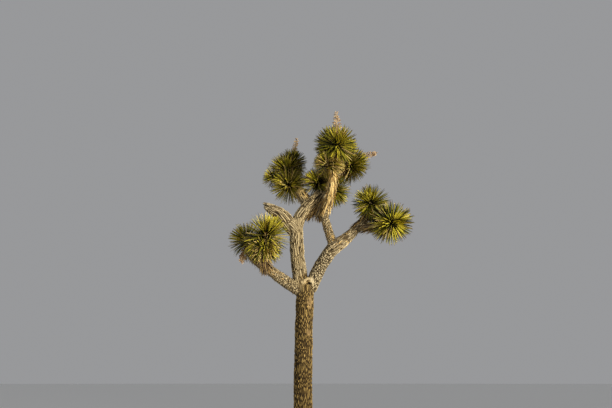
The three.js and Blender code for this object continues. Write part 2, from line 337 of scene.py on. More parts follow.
# The lip of callus over the hollow in the fork, as a line and its radius.
CALLUS = (
    (
        (0.0, -0.055, 2.64),
        (0.02, -0.1, 2.696),
        (0.076, -0.116, 2.726),
        (0.128, -0.096, 2.706),
        (0.155, -0.045, 2.65),
    ),
    0.021,
)
# The pale scar near the end of the upper bough, as centre and radius.
SCAR = ((0.33, 0.17, 4.267), 0.11)

GOLDEN_ANGLE = math.pi * (3 - math.sqrt(5))
# The tilt of a ball's newest and oldest leaf from its shoot, in degrees, and the same for its collar.
LEAF_TILTS = (6, 128)
COLLAR_TILTS = (112, 158)
# A direction that no shoot points in, from which the directions square to a shoot are found.
SLANT = (0.3, 0.9, 0.2)
# A shoot whose leaves reach this far has the full count of them.
FULL_REACH = 0.375
# The tints of live leaves and of dead ones. Foot and spine are the two ends of every live leaf; the foot's
# dark tint is painted shade deep in each ball.
LEAF_TINTS = ("green", "olive", "fresh", "dusky", "straw", "tan", "foot", "spine")
DEAD_TINTS = ("gold", "straw", "tan", "grey", "dark")
# An edge sharper than this many degrees isn't smoothed over on a leaf.
SHARP_EDGE = 32

# The photo's middle is so far above its horizon, and its lens has this focal length, both in pixels.
ABOVE_HORIZON = 178
FOCAL_LENGTH = 408
SENSOR_WIDTH = 36
# The lights, which all shine at one place: where each stands, its size, its colour and how wide it shines.
LIT_PLACE = (0.1, 0, 3.5)
LIGHTS = {
    "key": ((12, -12.4, 2.3), 3.6, (1, 0.94, 0.84), math.radians(34)),
    "fill": ((-5.5, -3.5, 4.5), 4.0, (0.95, 0.97, 1), math.pi),
    "back": ((-4.5, 9, 5.5), 5.0, (1, 0.97, 0.92), math.pi),
}

# Numbers that scatter a cell's place into even random bits.
CELL_PRIMES = (73856093, 19349663, 83492791)
SALT_PRIME = 2654435761
BIT_MIXERS = (2246822519, 3266489917)
ALL_BITS = 4294967295
# How near to its cell's edge a scattered point may come, as a share.
CELL_MARGIN = 0.12
# The places of the two colours among a colour mixing node's inputs, and of the result among its outputs.
FIRST_COLOUR, SECOND_COLOUR, MIXED_COLOUR = 6, 7, 2


def linear(red, green, blue):
    """A colour as Blender takes it, from the 0 to 255 values of a colour picker."""
    shares = (value / 255 for value in (red, green, blue))
    return tuple(
        share / 12.92 if share <= 0.04045 else ((share + 0.055) / 1.055) ** 2.4 for share in shares
    )


def colour_property(name, description, red, green, blue):
    """A colour that a user can pick."""
    return FloatVectorProperty(
        name=name,
        description=description,
        default=linear(red, green, blue),
        subtype="COLOR",
        size=3,
        min=0,
        max=1,
    )


def length_property(name, description, default):
    """A length that a user can set."""
    return FloatProperty(name=name, description=description, default=default, min=0, unit="LENGTH")


def share_property(name, description, default):
    """A share from 0 to 1 that a user can set."""
    return FloatProperty(
        name=name, description=description, default=default, min=0, max=1, subtype="FACTOR"
    )


def count_property(name, description, default):
    """A number of things that a user can set."""
    return IntProperty(name=name, description=description, default=default, min=1)


def seed_property(description, default):
    """A number that a user can change to grow another tree of the same form."""
    return IntProperty(name="Seed", description=description, default=default)


def power_property(name, description, default):
    """A light's power that a user can set."""
    return FloatProperty(name=name, description=description, default=default, min=0, unit="POWER")


class BarkSettings(bpy.types.PropertyGroup):
    """Sizes and colours of the bark."""

    mesh_size: length_property("Mesh size", "Edge length of the bark's mesh", 0.0054)
    rough_mesh_size: length_property("Rough mesh size", "Edge length of the mesh in a quick look", 0.011)
    seed: seed_property("Changes where cracks and plates fall", 7)
    crack: colour_property("Crack", "Colour down in the cracks", 44, 34, 20)
    body: colour_property("Body", "Colour of a plate's sides", 108, 90, 58)
    ridge: colour_property("Ridge", "Colour of a plate's weathered face", 232, 212, 166)
    earth: colour_property("Earth", "Tinge of the oldest bark", 216, 196, 134)
    bare: colour_property("Bare", "Colour of the worn patches", 196, 162, 106)
    pale: colour_property("Pale", "Colour of callus and scars", 238, 220, 178)
    weathered: colour_property("Weathered", "Grey that the weather leaves", 150, 144, 124)


class LeafSettings(bpy.types.PropertyGroup):
    """Sizes and colours of the live leaves."""

    count: count_property("Leaves", "Leaves on a shoot of the largest reach", 640)
    width: length_property("Width", "Width of a leaf at its widest", 0.016)
    thickness: length_property("Thickness", "Thickness of a leaf at its keel", 0.006)
    seed: seed_property("Changes each leaf's tilt, length and tint", 11)
    green: colour_property("Green", "Colour of a full-grown leaf", 124, 122, 32)
    olive: colour_property("Olive", "Colour of an older leaf", 156, 142, 42)
    fresh: colour_property("Fresh", "Colour of a young leaf", 210, 196, 60)
    # Partly a darker leaf tone, partly painted shade: the near-black leaves dealt among the rest stand in
    # for the shade between them.
    dusky: colour_property("Dusky", "Colour of the darkest leaves", 40, 42, 13)
    straw: colour_property("Straw", "Colour of a leaf that is dying back", 212, 188, 112)
    tan: colour_property("Tan", "Colour of a leaf that has dried", 168, 142, 84)
    # Painted shade: this dark tint covers the lowest third of every leaf, where it lies deep in the shade
    # of its ball.
    foot: colour_property("Foot", "Colour of the lowest third of each leaf", 64, 60, 24)
    spine: colour_property("Spine", "Colour of the sharp tips", 104, 70, 38)


class DeadLeafSettings(bpy.types.PropertyGroup):
    """Sizes and colours of the dead leaves."""

    width: length_property("Width", "Width of a dead leaf at its widest", 0.017)
    thickness: length_property("Thickness", "Thickness of a dead leaf", 0.003)
    collar: count_property("Collar", "Dead leaves under each ball", 130)
    bases: count_property("Leaf bases", "Old leaf bases on each square metre of bark", 1100)
    seed: seed_property("Changes each dead leaf's place and curl", 23)
    gold: colour_property("Gold", "Colour of a newly dead leaf", 234, 204, 134)
    straw: colour_property("Straw", "Colour of most dead leaves", 196, 162, 98)
    tan: colour_property("Tan", "Colour of older dead leaves", 142, 114, 70)
    grey: colour_property("Grey", "Colour of the oldest leaves", 136, 120, 94)
    # Rotten leaves' own colour, and also painted shade on a random fifth of all dead leaves.
    dark: colour_property("Dark", "Colour of rotten leaf bases", 84, 66, 44)


class StalkSettings(bpy.types.PropertyGroup):
    """Sizes and colours of the dry flower stalks."""

    radius: length_property("Radius", "Radius of a stalk at its foot", 0.015)
    twigs: count_property("Twigs", "Side twigs on each stalk", 46)
    twig_width: length_property("Twig width", "Width of a twig at its foot", 0.01)
    capsules: count_property("Capsules", "Dry capsules on each twig", 4)
    capsule_length: length_property("Capsule", "Length of a dry capsule", 0.036)
    seed: seed_property("Changes each twig's place and tilt", 31)
    stem: colour_property("Stem", "Colour of the stalk and twigs", 208, 182, 122)
    husk: colour_property("Husk", "Colour of the capsules", 222, 194, 150)
    husk_dark: colour_property("Dark husk", "Colour of the older capsules", 160, 126, 92)


class StageSettings(bpy.types.PropertyGroup):
    """The camera, floor and lights."""

    camera_place: FloatVectorProperty(
        name="Camera",
        description="Where the camera stands",
        default=(0.046, -6.2, 1.3),
        subtype="TRANSLATION",
        unit="LENGTH",
    )
    camera_pitch: FloatProperty(
        name="Pitch",
        description="How far the camera looks up",
        default=math.atan(ABOVE_HORIZON / FOCAL_LENGTH),
        subtype="ANGLE",
        unit="ROTATION",
    )
    camera_lens: FloatProperty(name="Lens", description="Focal length in millimetres", default=24, min=1)
    floor_radius: length_property("Floor radius", "How far the floor goes", 400)
    floor: colour_property("Floor", "Colour of the floor", 240, 240, 238)
    backdrop: colour_property("Backdrop", "Colour behind the tree", 240, 241, 244)
    backdrop_light: share_property("Backdrop light", "How brightly the backdrop shines", 0.36)
    key_power: power_property("Key light", "Power of the key light", 170)
    fill_power: power_property("Fill light", "Power of the fill light", 22)
    back_power: power_property("Back light", "Power of the back light", 300)


def smooth_step(low, high, values):
    """0 below low, 1 above high, and a smooth rise between."""
    share = np.clip((values - low) / (high - low), 0, 1)
    return share * share * (3 - 2 * share)


def unit(vectors):
    """The vectors at length 1."""
    return vectors / np.maximum(np.linalg.norm(vectors, axis=-1, keepdims=True), 1e-9)


def mix(start, end, share):
    """Between start and end by a share."""
    return start + (end - start) * share


def hashed(cell_x, cell_y, cell_z, salt):
    """An even random number from 0 to 1 for each whole-numbered cell."""
    number = np.uint32(salt * SALT_PRIME % (ALL_BITS + 1))
    for cell, prime in zip((cell_x, cell_y, cell_z), CELL_PRIMES):
        number = number ^ cell.astype(np.uint32) * np.uint32(prime)
    for mixer in BIT_MIXERS:
        number = (number ^ (number >> np.uint32(15))) * np.uint32(mixer)
    return (number ^ (number >> np.uint32(16))).astype(np.float64) / ALL_BITS


def soft_noise(places, salt):
    """Smooth noise from -1 to 1 with a feature to each unit."""
    cell = np.floor(places)
    share = places - cell
    share = share * share * (3 - 2 * share)
    cell = cell.astype(np.int64)
    total = np.zeros(len(places))
    for corner in np.ndindex(2, 2, 2):
        parts = [share[:, axis] if corner[axis] else 1 - share[:, axis] for axis in range(3)]
        weight = np.prod(parts, axis=0)
        total += weight * hashed(*(cell[:, axis] + corner[axis] for axis in range(3)), salt)
    return total * 2 - 1


def cells(columns, rows, around_count, salt):
    """How much nearer the nearest of many scattered points is than the next, and the nearest one's number.
    The columns run round a limb and meet again after around_count of them."""
    cell_column = np.floor(columns).astype(np.int64)
    cell_row = np.floor(rows).astype(np.int64)
    level = np.zeros_like(cell_row)
    nearest = np.full(len(rows), 9.0)
    second = np.full(len(rows), 9.0)
    number = np.zeros(len(rows))
    for step_column, step_row in np.ndindex(3, 3):
        column, row = cell_column + step_column - 1, cell_row + step_row - 1
        wrapped = np.mod(column, around_count)
        across, along = (
            CELL_MARGIN + (1 - 2 * CELL_MARGIN) * hashed(wrapped, row, level, salt + axis)
            for axis in range(2)
        )
        distance = np.abs(column + across - columns) + np.abs(row + along - rows)
        closer = distance < nearest
        second = np.where(closer, nearest, np.minimum(second, distance))
        nearest = np.where(closer, distance, nearest)
        number = np.where(closer, hashed(wrapped, row, level, salt + 9), number)
    return second - nearest, number


def smooth_line(points, spacing):
    """Evenly spaced points along a smooth line through the given ones."""
    points = np.asarray(points, float)
    ends = np.vstack([2 * points[0] - points[1], points, 2 * points[-1] - points[-2]])
    shares = np.linspace(0, 1, 40, endpoint=False)[:, None]
    fine = []
    for before, start, end, after in zip(ends, ends[1:], ends[2:], ends[3:]):
        step_in, step, step_out = (
            math.sqrt(np.linalg.norm(b - a)) for a, b in ((before, start), (start, end), (end, after))
        )
        slope_in = (start - before) / step_in - (end - before) / (step_in + step) + (end - start) / step
        slope_out = (end - start) / step - (after - start) / (step + step_out) + (after - end) / step_out
        slope_in, slope_out = slope_in * step, slope_out * step
        fine.append(
            start
            + slope_in * shares
            + (3 * (end - start) - 2 * slope_in - slope_out) * shares**2
            + (2 * (start - end) + slope_in + slope_out) * shares**3
        )
    fine = np.vstack([*fine, points[-1:]])
    along = np.concatenate([[0], np.cumsum(np.linalg.norm(np.diff(fine, axis=0), axis=1))])
    count = max(3, round(along[-1] / spacing) + 1)
    even = np.linspace(0, along[-1], count)
    return np.stack([np.interp(even, along, fine[:, axis]) for axis in range(3)], axis=1)


class Path:
    """A smooth centre line with the distance along it and three directions at each of its points."""

    def __init__(self, points, spacing):
        self.points = smooth_line(points, spacing)
        steps = np.linalg.norm(np.diff(self.points, axis=0), axis=1)
        self.along = np.concatenate([[0], np.cumsum(steps)])
        self.length = self.along[-1]
        self.forward = unit(np.gradient(self.points, axis=0))
        side = np.cross(self.forward[0], (0, 1, 0) if abs(self.forward[0][1]) < 0.9 else (1, 0, 0))
        sides = []
        for forward in self.forward:
            side = unit(side - forward * np.dot(side, forward))
            sides.append(side)
        self.side = np.array(sides)
        self.over = np.cross(self.forward, self.side)

    def at(self, shares):
        """The points and the three directions at shares of the length."""
        even = np.clip(shares, 0, 1) * self.length
        return tuple(
            np.stack([np.interp(even, self.along, rows[:, axis]) for axis in range(3)], axis=1)
            for rows in (self.points, self.forward, self.side, self.over)
        )

    def matrix(self, index, radius):
        """Carries a flat unit circle to its place round the line."""
        columns = (self.side[index] * radius, self.over[index] * radius, self.forward[index])
        turned = Matrix([[columns[c][r] for c in range(3)] for r in range(3)]).to_4x4()
        turned.translation = Vector(self.points[index])
        return turned


def drawn_out(bm, face, is_first):
    """Draws a tube's end face out, and gives back its new ring of vertices and its new end face."""
    drawn = bmesh.ops.extrude_face_region(bm, geom=[face], use_keep_orig=is_first)["geom"]
    ring = [item for item in drawn if isinstance(item, bmesh.types.BMVert)]
    return ring, next(item for item in drawn if isinstance(item, bmesh.types.BMFace))


def sweep(bm, path, radii, sides):
    """Draws one circle out along a path, as a closed tube, and gives back the vertices of each ring."""
    made = bmesh.ops.create_circle(bm, cap_ends=True, radius=1, segments=sides)
    ring = made["verts"]
    face = ring[0].link_faces[0]
    bmesh.ops.transform(bm, matrix=path.matrix(0, radii[0]), verts=ring)
    rings = [list(ring)]
    for index in range(1, len(path.points)):
        ring, face = drawn_out(bm, face, index == 1)
        move = path.matrix(index, radii[index]) @ path.matrix(index - 1, radii[index - 1]).inverted()
        bmesh.ops.transform(bm, matrix=move, verts=ring)
        rings.append(ring)
    return rings


def new_mesh(bm, name):
    """A mesh from a finished bmesh, with every face turned outwards."""
    bmesh.ops.recalc_face_normals(bm, faces=bm.faces)
    mesh = bpy.data.meshes.new(name)
    bm.to_mesh(mesh)
    bm.free()
    return mesh


def vertex_vectors(mesh, name):
    """One of the vectors that the mesh keeps for its vertices, as rows."""
    values = np.empty(len(mesh.vertices) * 3)
    mesh.vertices.foreach_get(name, values)
    return values.reshape(-1, 3)


def smooth_faces(mesh):
    """Shades every face of the mesh smooth."""
    mesh.polygons.foreach_set("use_smooth", np.ones(len(mesh.polygons), bool))


def add_object(name, mesh):
    """An object in the scene that holds the mesh."""
    made = bpy.data.objects.new(name, mesh)
    bpy.context.scene.collection.objects.link(made)
    return made


def finish_piece(piece, nodes):
    """Puts a finished piece on the tree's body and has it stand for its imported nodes."""
    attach(piece, BODY)
    known = [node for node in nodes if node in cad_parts]
    if known:
        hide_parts(*known)


class Limb:
    """A limb with its path, its radius along it and its kind of bark."""

    def __init__(self, name, points, radii, bark, number):
        self.name, self.bark, self.number = name, bark, number
        self.path = Path(points, LIMB_STEP)
        shares = self.path.along / self.path.length
        self.radii = np.interp(shares, np.linspace(0, 1, len(radii)), radii)

    def tube(self, bm):
        """The limb's rough round form, with a blunt end."""
        shares = self.path.along / self.path.length
        into = np.clip((shares - BLUNT_FROM) / BLUNT_LENGTH, 0, 1)
        radii = self.radii * np.sqrt(1 - 0.75 * into**2)
        return sweep(bm, self.path, radii, LIMB_SIDES)

    def places(self, points):
        """For points near the limb: the distance from its surface, and a place on its bark that runs round
        and along it."""
        distance = np.full(len(points), np.inf)
        nearest = np.zeros(len(points), int)
        for index, centre in enumerate(self.path.points):
            found = ((points - centre) ** 2).sum(axis=1)
            closer = found < distance
            distance[closer] = found[closer]
            nearest[closer] = index
        path = self.path
        offset = points - path.points[nearest]
        along = (offset * path.forward[nearest]).sum(axis=1)
        across = (offset * path.side[nearest]).sum(axis=1)
        over = (offset * path.over[nearest]).sum(axis=1)
        out = np.hypot(across, over)
        past = np.where((nearest == 0) | (nearest == len(path.points) - 1), np.abs(along), 0)
        gap = np.hypot(out, past) - self.radii[nearest]
        round_radius = self.radii.mean()
        turn = round_radius / np.maximum(out, 1e-6)
        return gap, np.stack([across * turn, over * turn, path.along[nearest] + along], axis=1)


def grown_limbs():
    """Every limb of the tree, and the woody core of every ball of leaves."""
    limbs = [Limb(name, *spec, number) for number, (name, spec) in enumerate(LIMBS.items())]
    for name, (base, tip, *_) in BALLS.items():
        base, tip = np.array(base), np.array(tip)
        points = (base - CORE_SUNK * unit(tip - base), (base + tip) / 2, tip)
        limbs.append(Limb(name, points, CORE_RADII, "young", len(limbs)))
    return limbs


def add_root_flare(rings):
    """Spreads the trunk's lowest rings into root lobes."""
    for ring in rings:
        for vertex in ring:
            height = max(vertex.co.z, 0)
            angle = math.atan2(vertex.co.y, vertex.co.x)
            lobes = 1 + ROOT_LOBE_DEPTH * math.cos(ROOT_LOBES * angle + ROOT_LOBE_TURN)
            flare = ROOT_FLARE * math.exp(-height / ROOT_FLARE_HEIGHT) * lobes
            out = Vector((vertex.co.x, vertex.co.y, 0))
            if out.length > 1e-4:
                vertex.co += out.normalized() * flare


def rough_skin(limbs, mesh_size):
    """One closed skin over all limbs, rounded where they meet."""
    bm = bmesh.new()
    for limb in limbs:
        rings = limb.tube(bm)
        if limb.name == "trunk":
            for vertex in rings[0]:
                vertex.co.z = -BELOW_THE_CUT
            add_root_flare(rings)
    path = Path(CALLUS[0], SHOOT_STEP)
    sweep(bm, path, np.full(len(path.points), CALLUS[1]), CALLUS_SIDES)
    skin = add_object("bark", new_mesh(bm, "bark"))
    remesh = skin.modifiers.new("Skin", "REMESH")
    remesh.mode = "VOXEL"
    remesh.voxel_size = mesh_size
    smooth = skin.modifiers.new("Round the forks", "SMOOTH")
    smooth.factor = 0.5
    smooth.iterations = round(SMOOTHINGS * (SMOOTHED_MESH / mesh_size) ** 2) + 2
    evaluated = skin.evaluated_get(bpy.context.evaluated_depsgraph_get())
    mesh = bpy.data.meshes.new_from_object(evaluated)
    bpy.data.objects.remove(skin)
    return mesh


def bark_relief(limb, places, salt):
    """A limb's bark at its places: its relief, 0 in the cracks and 1 on the plates, how far it is to the
    next crack, each plate's number, and the depth of the cracks."""
    width, length, depth, strands, openness, _ = BARKS[limb.bark]
    # Places wander a little first, so that no row of plates runs straight round the limb.
    wander = np.stack([soft_noise(places / 0.11 + 31 * axis, salt + axis) for axis in range(3)], axis=1)
    bent = places + wander * (0.5 * width, 0.5 * width, 0.75 * length)
    around_count = round(2 * math.pi * limb.radii.mean() / width)
    turns = np.arctan2(bent[:, 1], bent[:, 0]) / (2 * math.pi)
    # Plates: cells that are longer than wide, each with finer cracks across it.
    gap, number = cells(turns * around_count, bent[:, 2] / length, around_count, salt + 3)
    fine_gap, _ = cells(turns * around_count * 2, bent[:, 2] / (0.42 * length), around_count * 2, salt + 5)
    gap = gap / openness
    plates = smooth_step(0.02, 0.4, gap) * (0.8 + 0.2 * smooth_step(0, 0.3, fine_gap))
    # Strands: ridges along the limb that sway, and break off here and there.
    sway = 1.3 * soft_noise(bent / (3 * width, 3 * width, 0.8 * length), salt + 7)
    sway += 0.45 * soft_noise(bent / (width, width, 0.35 * length), salt + 8)
    strand = turns * around_count + sway
    ridge = smooth_step(0.12, 0.95, np.abs(np.sin(math.pi * strand)))
    broken = smooth_step(-0.35, 0.2, soft_noise(bent / (width, width, 0.4 * length), salt + 9))
    ridge = mix(1.0, ridge, mix(0.55, 1.0, broken))
    row = np.mod(np.floor(strand).astype(np.int64), around_count)
    number = mix(number, hashed(row, np.zeros_like(row), np.zeros_like(row), salt + 10), 0.7 * strands)
    gap = mix(gap, 0.5 * ridge, strands)
    relief = mix(plates, (0.35 + 0.65 * plates) * (0.15 + 0.85 * ridge), strands)
    relief = relief * (0.9 + 0.2 * (number - 0.5))
    return np.clip(relief, 0, 1), np.clip(gap, 0, 1), number, depth


def hollow(points, centre, width, height):
    """How far each point is inside a soft-edged patch on the bark, from 0 to 1."""
    offset = points - np.array(centre)
    level = np.hypot(np.hypot(offset[:, 0], offset[:, 1]) / width, offset[:, 2] / height)
    return 1 - smooth_step(0.55, 1.15, level)


def broken_end(limbs, owner, places, points):
    """How far each point of the left stub's end moves, to end in a torn edge that is longest on top."""
    moves = np.zeros(points.shape)
    row = next(number for number, limb in enumerate(limbs) if limb.name == "bough_left_stub")
    near, place = places[row]
    path = limbs[row].path
    own = owner[near] == row
    near, place = near[own], place[own]
    share = smooth_step(path.length - BREAK_LENGTH, path.length, place[:, 2])
    upwards = (points[near] - path.points[-1])[:, 2] / limbs[row].radii[-1]
    torn = soft_noise(place / (0.014, 0.014, 0.2), 77) + 0.5 * soft_noise(place / (0.007, 0.007, 0.1), 78)
    amount = BREAK_RAGGED * share * (0.6 * np.clip(upwards, -1.2, 1.2) + torn)
    moves[near] = amount[:, None] * path.forward[-1]
    return moves


def add_relief(mesh, limbs, seed):
    """Moves the skin's vertices into plates, cracks, knots and worn patches, and keeps the numbers that the
    bark's material reads."""
    count = len(mesh.vertices)
    points = vertex_vectors(mesh, "co")
    normals = vertex_vectors(mesh, "normal")

    gaps = np.full((len(limbs), count), 9.0)
    places = []
    for row, limb in enumerate(limbs):
        margin = limb.radii.max() + BARK_REACH
        low, high = limb.path.points.min(axis=0) - margin, limb.path.points.max(axis=0) + margin
        near = np.flatnonzero(((points > low) & (points < high)).all(axis=1))
        gap, place = limb.places(points[near])
        gaps[row, near] = gap
        places.append((near, place))
    owner = gaps.argmin(axis=0)
    weights = np.exp(-(gaps - gaps.min(axis=0)) / BARK_BLEND)

    sums = np.zeros((6, count))
    grain = np.zeros((count, 3))
    for row, limb in enumerate(limbs):
        near, place = places[row]
        weight = weights[row, near]
        kept = weight > LEAST_WEIGHT
        near, place, weight = near[kept], place[kept], weight[kept]
        found, gap, plate, deep = bark_relief(limb, place, seed + 13 * limb.number)
        for total, value in zip(sums, (found, gap, plate, deep, BARKS[limb.bark][-1], 1)):
            total[near] += weight * value
        own = owner[near] == row
        grain[near[own]] = place[own] + 3.0 * limb.number
    relief, crack, number, depth, earth = sums[:5] / sums[5]

    # Worn places lose most of their plates, and the callus and the scars are pale.
    bare = np.zeros(count)
    for centre, width, height in BARE_PATCHES:
        bare = np.maximum(bare, hollow(points, centre, width, height))
    torn = soft_noise(points / (0.03, 0.03, 0.07), seed + 43) + 0.5 * soft_noise(points / 0.018, seed + 44)
    bare = smooth_step(0.3, 0.8, bare + 0.6 * torn * (bare > 0.01))
    swirl = 0.5 + 0.5 * soft_noise(points / (0.016, 0.016, 0.04) + 3 * bare[:, None], seed + 40)
    relief = mix(relief, 0.35 * relief + 0.65 * swirl**1.5, 0.85 * bare)
    crack = mix(crack, 1.0, 0.45 * bare)
    callus = Path(CALLUS[0], SHOOT_STEP).points
    from_callus = np.linalg.norm(points[:, None] - callus[None], axis=2).min(axis=1) - CALLUS[1]
    lip = 1 - smooth_step(0, 0.04, from_callus + 0.008 * torn)
    relief = mix(relief, 0.5 + 0.5 * swirl, 0.8 * lip)
    crack = mix(crack, 1.0, lip)
    pale = 0.9 * lip
    from_scar = np.linalg.norm(points - np.array(SCAR[0]), axis=1) / SCAR[1]
    pale = np.maximum(pale, 0.7 * (1 - smooth_step(0.5, 1.2, from_scar + 0.3 * torn)))
    tip = next(limb for limb in limbs if limb.name == "bough_left_stub").path.points[-1]
    from_tip = np.linalg.norm(points - tip, axis=1) / BREAK_LENGTH
    pale = np.maximum(pale, 0.6 * (1 - smooth_step(0.4, 1.0, from_tip + 0.25 * torn)))
    # Plates stand out and cracks go in, on a limb that isn't quite round, and knots are pits with a rim.
    push = depth * (relief - 0.6) - 0.003 * bare
    push += 0.007 * soft_noise(points / 0.13, seed + 41) + 0.0025 * soft_noise(points / 0.03, seed + 42)
    for centre, width, height, deep in KNOTS:
        out = np.linalg.norm((points - np.array(centre)) / (width, width, height), axis=1)
        pit = np.exp(-((out / 0.8) ** 2))
        rim = np.exp(-(((out - 1.5) / 0.5) ** 2))
        push += deep * (0.35 * rim - pit)
        # The pit's colour is darkened to that of the cracks, partly the inner bark's own dark and partly
        # painted shade in the hollow.
        relief = np.clip(relief * (1 - 0.95 * pit) + 0.2 * rim, 0, 1)
        crack = crack * (1 - pit)
        pale = pale * (1 - pit)
    points = points + normals * push[:, None]
    points += broken_end(limbs, owner, places, points)
    mesh.vertices.foreach_set("co", points.ravel())

    owners = mesh.attributes.new("owner", "INT", "POINT")
    owners.data.foreach_set("value", owner.astype(np.int32))
    numbers = {
        "relief": relief,
        "crack": crack,
        "bare": bare,
        "pale": pale,
        "earth": earth,
        "plate_tint": number,
    }
    for name, values in numbers.items():
        layer = mesh.attributes.new(name, "FLOAT", "POINT")
        layer.data.foreach_set("value", values.astype(np.float32))
    layer = mesh.attributes.new("grain_place", "FLOAT_VECTOR", "POINT")
    layer.data.foreach_set("vector", grain.astype(np.float32).ravel())
    mesh.update()


def cut_flat_at_ground(bm):
    """Cuts the trunk off level at the ground, and closes the cut."""
    geometry = bm.verts[:] + bm.edges[:] + bm.faces[:]
    bmesh.ops.bisect_plane(bm, geom=geometry, plane_co=(0, 0, 0), plane_no=(0, 0, 1), clear_inner=True)


def part_limb(bm, limb, share):
    """Parts the skin across one limb, square to it."""
    (point,), (forward,), _, _ = limb.path.at(np.array([share]))
    reach = np.interp(share * limb.path.length, limb.path.along, limb.radii) * 1.45
    centre = Vector(point)
    near = [face for face in bm.faces if (face.calc_center_median() - centre).length < reach]
    geometry = set(near)
    for face in near:
        geometry.update(face.edges)
        geometry.update(face.verts)
    cut = bmesh.ops.bisect_plane(bm, geom=list(geometry), plane_co=point, plane_no=forward)["geom_cut"]
    edges = [item for item in cut if isinstance(item, bmesh.types.BMEdge)]
    bmesh.ops.split_edges(bm, edges=edges)


def close_holes(mesh):
    """Closes the cut faces of a piece of bark."""
    bm = bmesh.new()
    bm.from_mesh(mesh)
    open_edges = [edge for edge in bm.edges if edge.is_boundary]
    closed = bmesh.ops.holes_fill(bm, edges=open_edges, sides=0)["faces"]
    bmesh.ops.triangulate(bm, faces=closed)
    bmesh.ops.recalc_face_normals(bm, faces=bm.faces)
    bm.to_mesh(mesh)
    bm.free()


def loose_parts(mesh):
    """The mesh's loose parts, as objects, the largest first."""
    whole = add_object("skin", mesh)
    bpy.ops.object.select_all(action="DESELECT")
    whole.select_set(True)
    bpy.context.view_layer.objects.active = whole
    bpy.ops.mesh.separate(type="LOOSE")
    parts = list(bpy.context.selected_objects)
    return sorted(parts, key=lambda part: -len(part.data.vertices))


def most_common_owner(mesh):
    """The limb that most of a part's vertices belong to."""
    owner = np.empty(len(mesh.vertices), np.int32)
    mesh.attributes["owner"].data.foreach_get("value", owner)
    return np.bincount(owner).argmax()


class Nodes:
    """Adds nodes to a material's tree and joins them up."""

    def __init__(self, material):
        material.use_nodes = True
        self.tree = material.node_tree
        self.shader = self.tree.nodes["Principled BSDF"]

    def add(self, kind, inputs=None, **settings):
        """A node with settings and with values or other nodes' outputs on its inputs."""
        node = self.tree.nodes.new(kind)
        for name, value in settings.items():
            setattr(node, name, value)
        for name, value in (inputs or {}).items():
            self.put(node.inputs[name], value)
        return node

    def put(self, socket, value):
        """A value on a socket, or a link from another node's output."""
        if isinstance(value, bpy.types.NodeSocket):
            self.tree.links.new(value, socket)
        else:
            socket.default_value = value

    def attribute(self, name, output="Fac"):
        """The output that reads one of the mesh's attributes."""
        return self.add("ShaderNodeAttribute", attribute_name=name).outputs[output]

    def noise(self, vector, scale, detail=3.0, roughness=0.55):
        """The output of a noise texture."""
        inputs = {"Vector": vector, "Scale": scale, "Detail": detail, "Roughness": roughness}
        return self.add("ShaderNodeTexNoise", inputs).outputs["Fac"]

    def spread(self, value, low, high, to_low, to_high):
        """A value carried from one range to another."""
        inputs = {"Value": value, "From Min": low, "From Max": high, "To Min": to_low, "To Max": to_high}
        return self.add("ShaderNodeMapRange", inputs).outputs["Result"]

    def mixed(self, share, first, second, blend="MIX"):
        """Two colours mixed by a share."""
        node = self.add("ShaderNodeMix", data_type="RGBA", blend_type=blend)
        self.put(node.inputs["Factor"], share)
        for place, value in ((FIRST_COLOUR, first), (SECOND_COLOUR, second)):
            solid = value if isinstance(value, bpy.types.NodeSocket) else (*value, 1)
            self.put(node.inputs[place], solid)
        return node.outputs[MIXED_COLOUR]

    def shaded(self, colour, share):
        """A colour made darker or lighter by a number."""
        grey = self.add("ShaderNodeCombineColor", {"Red": share, "Green": share, "Blue": share})
        return self.mixed(1.0, colour, grey.outputs["Color"], "MULTIPLY")

    def sum(self, first, second, operation="ADD"):
        """Two numbers put together."""
        node = self.add("ShaderNodeMath", operation=operation)
        self.put(node.inputs[0], first)
        self.put(node.inputs[1], second)
        return node.outputs[0]


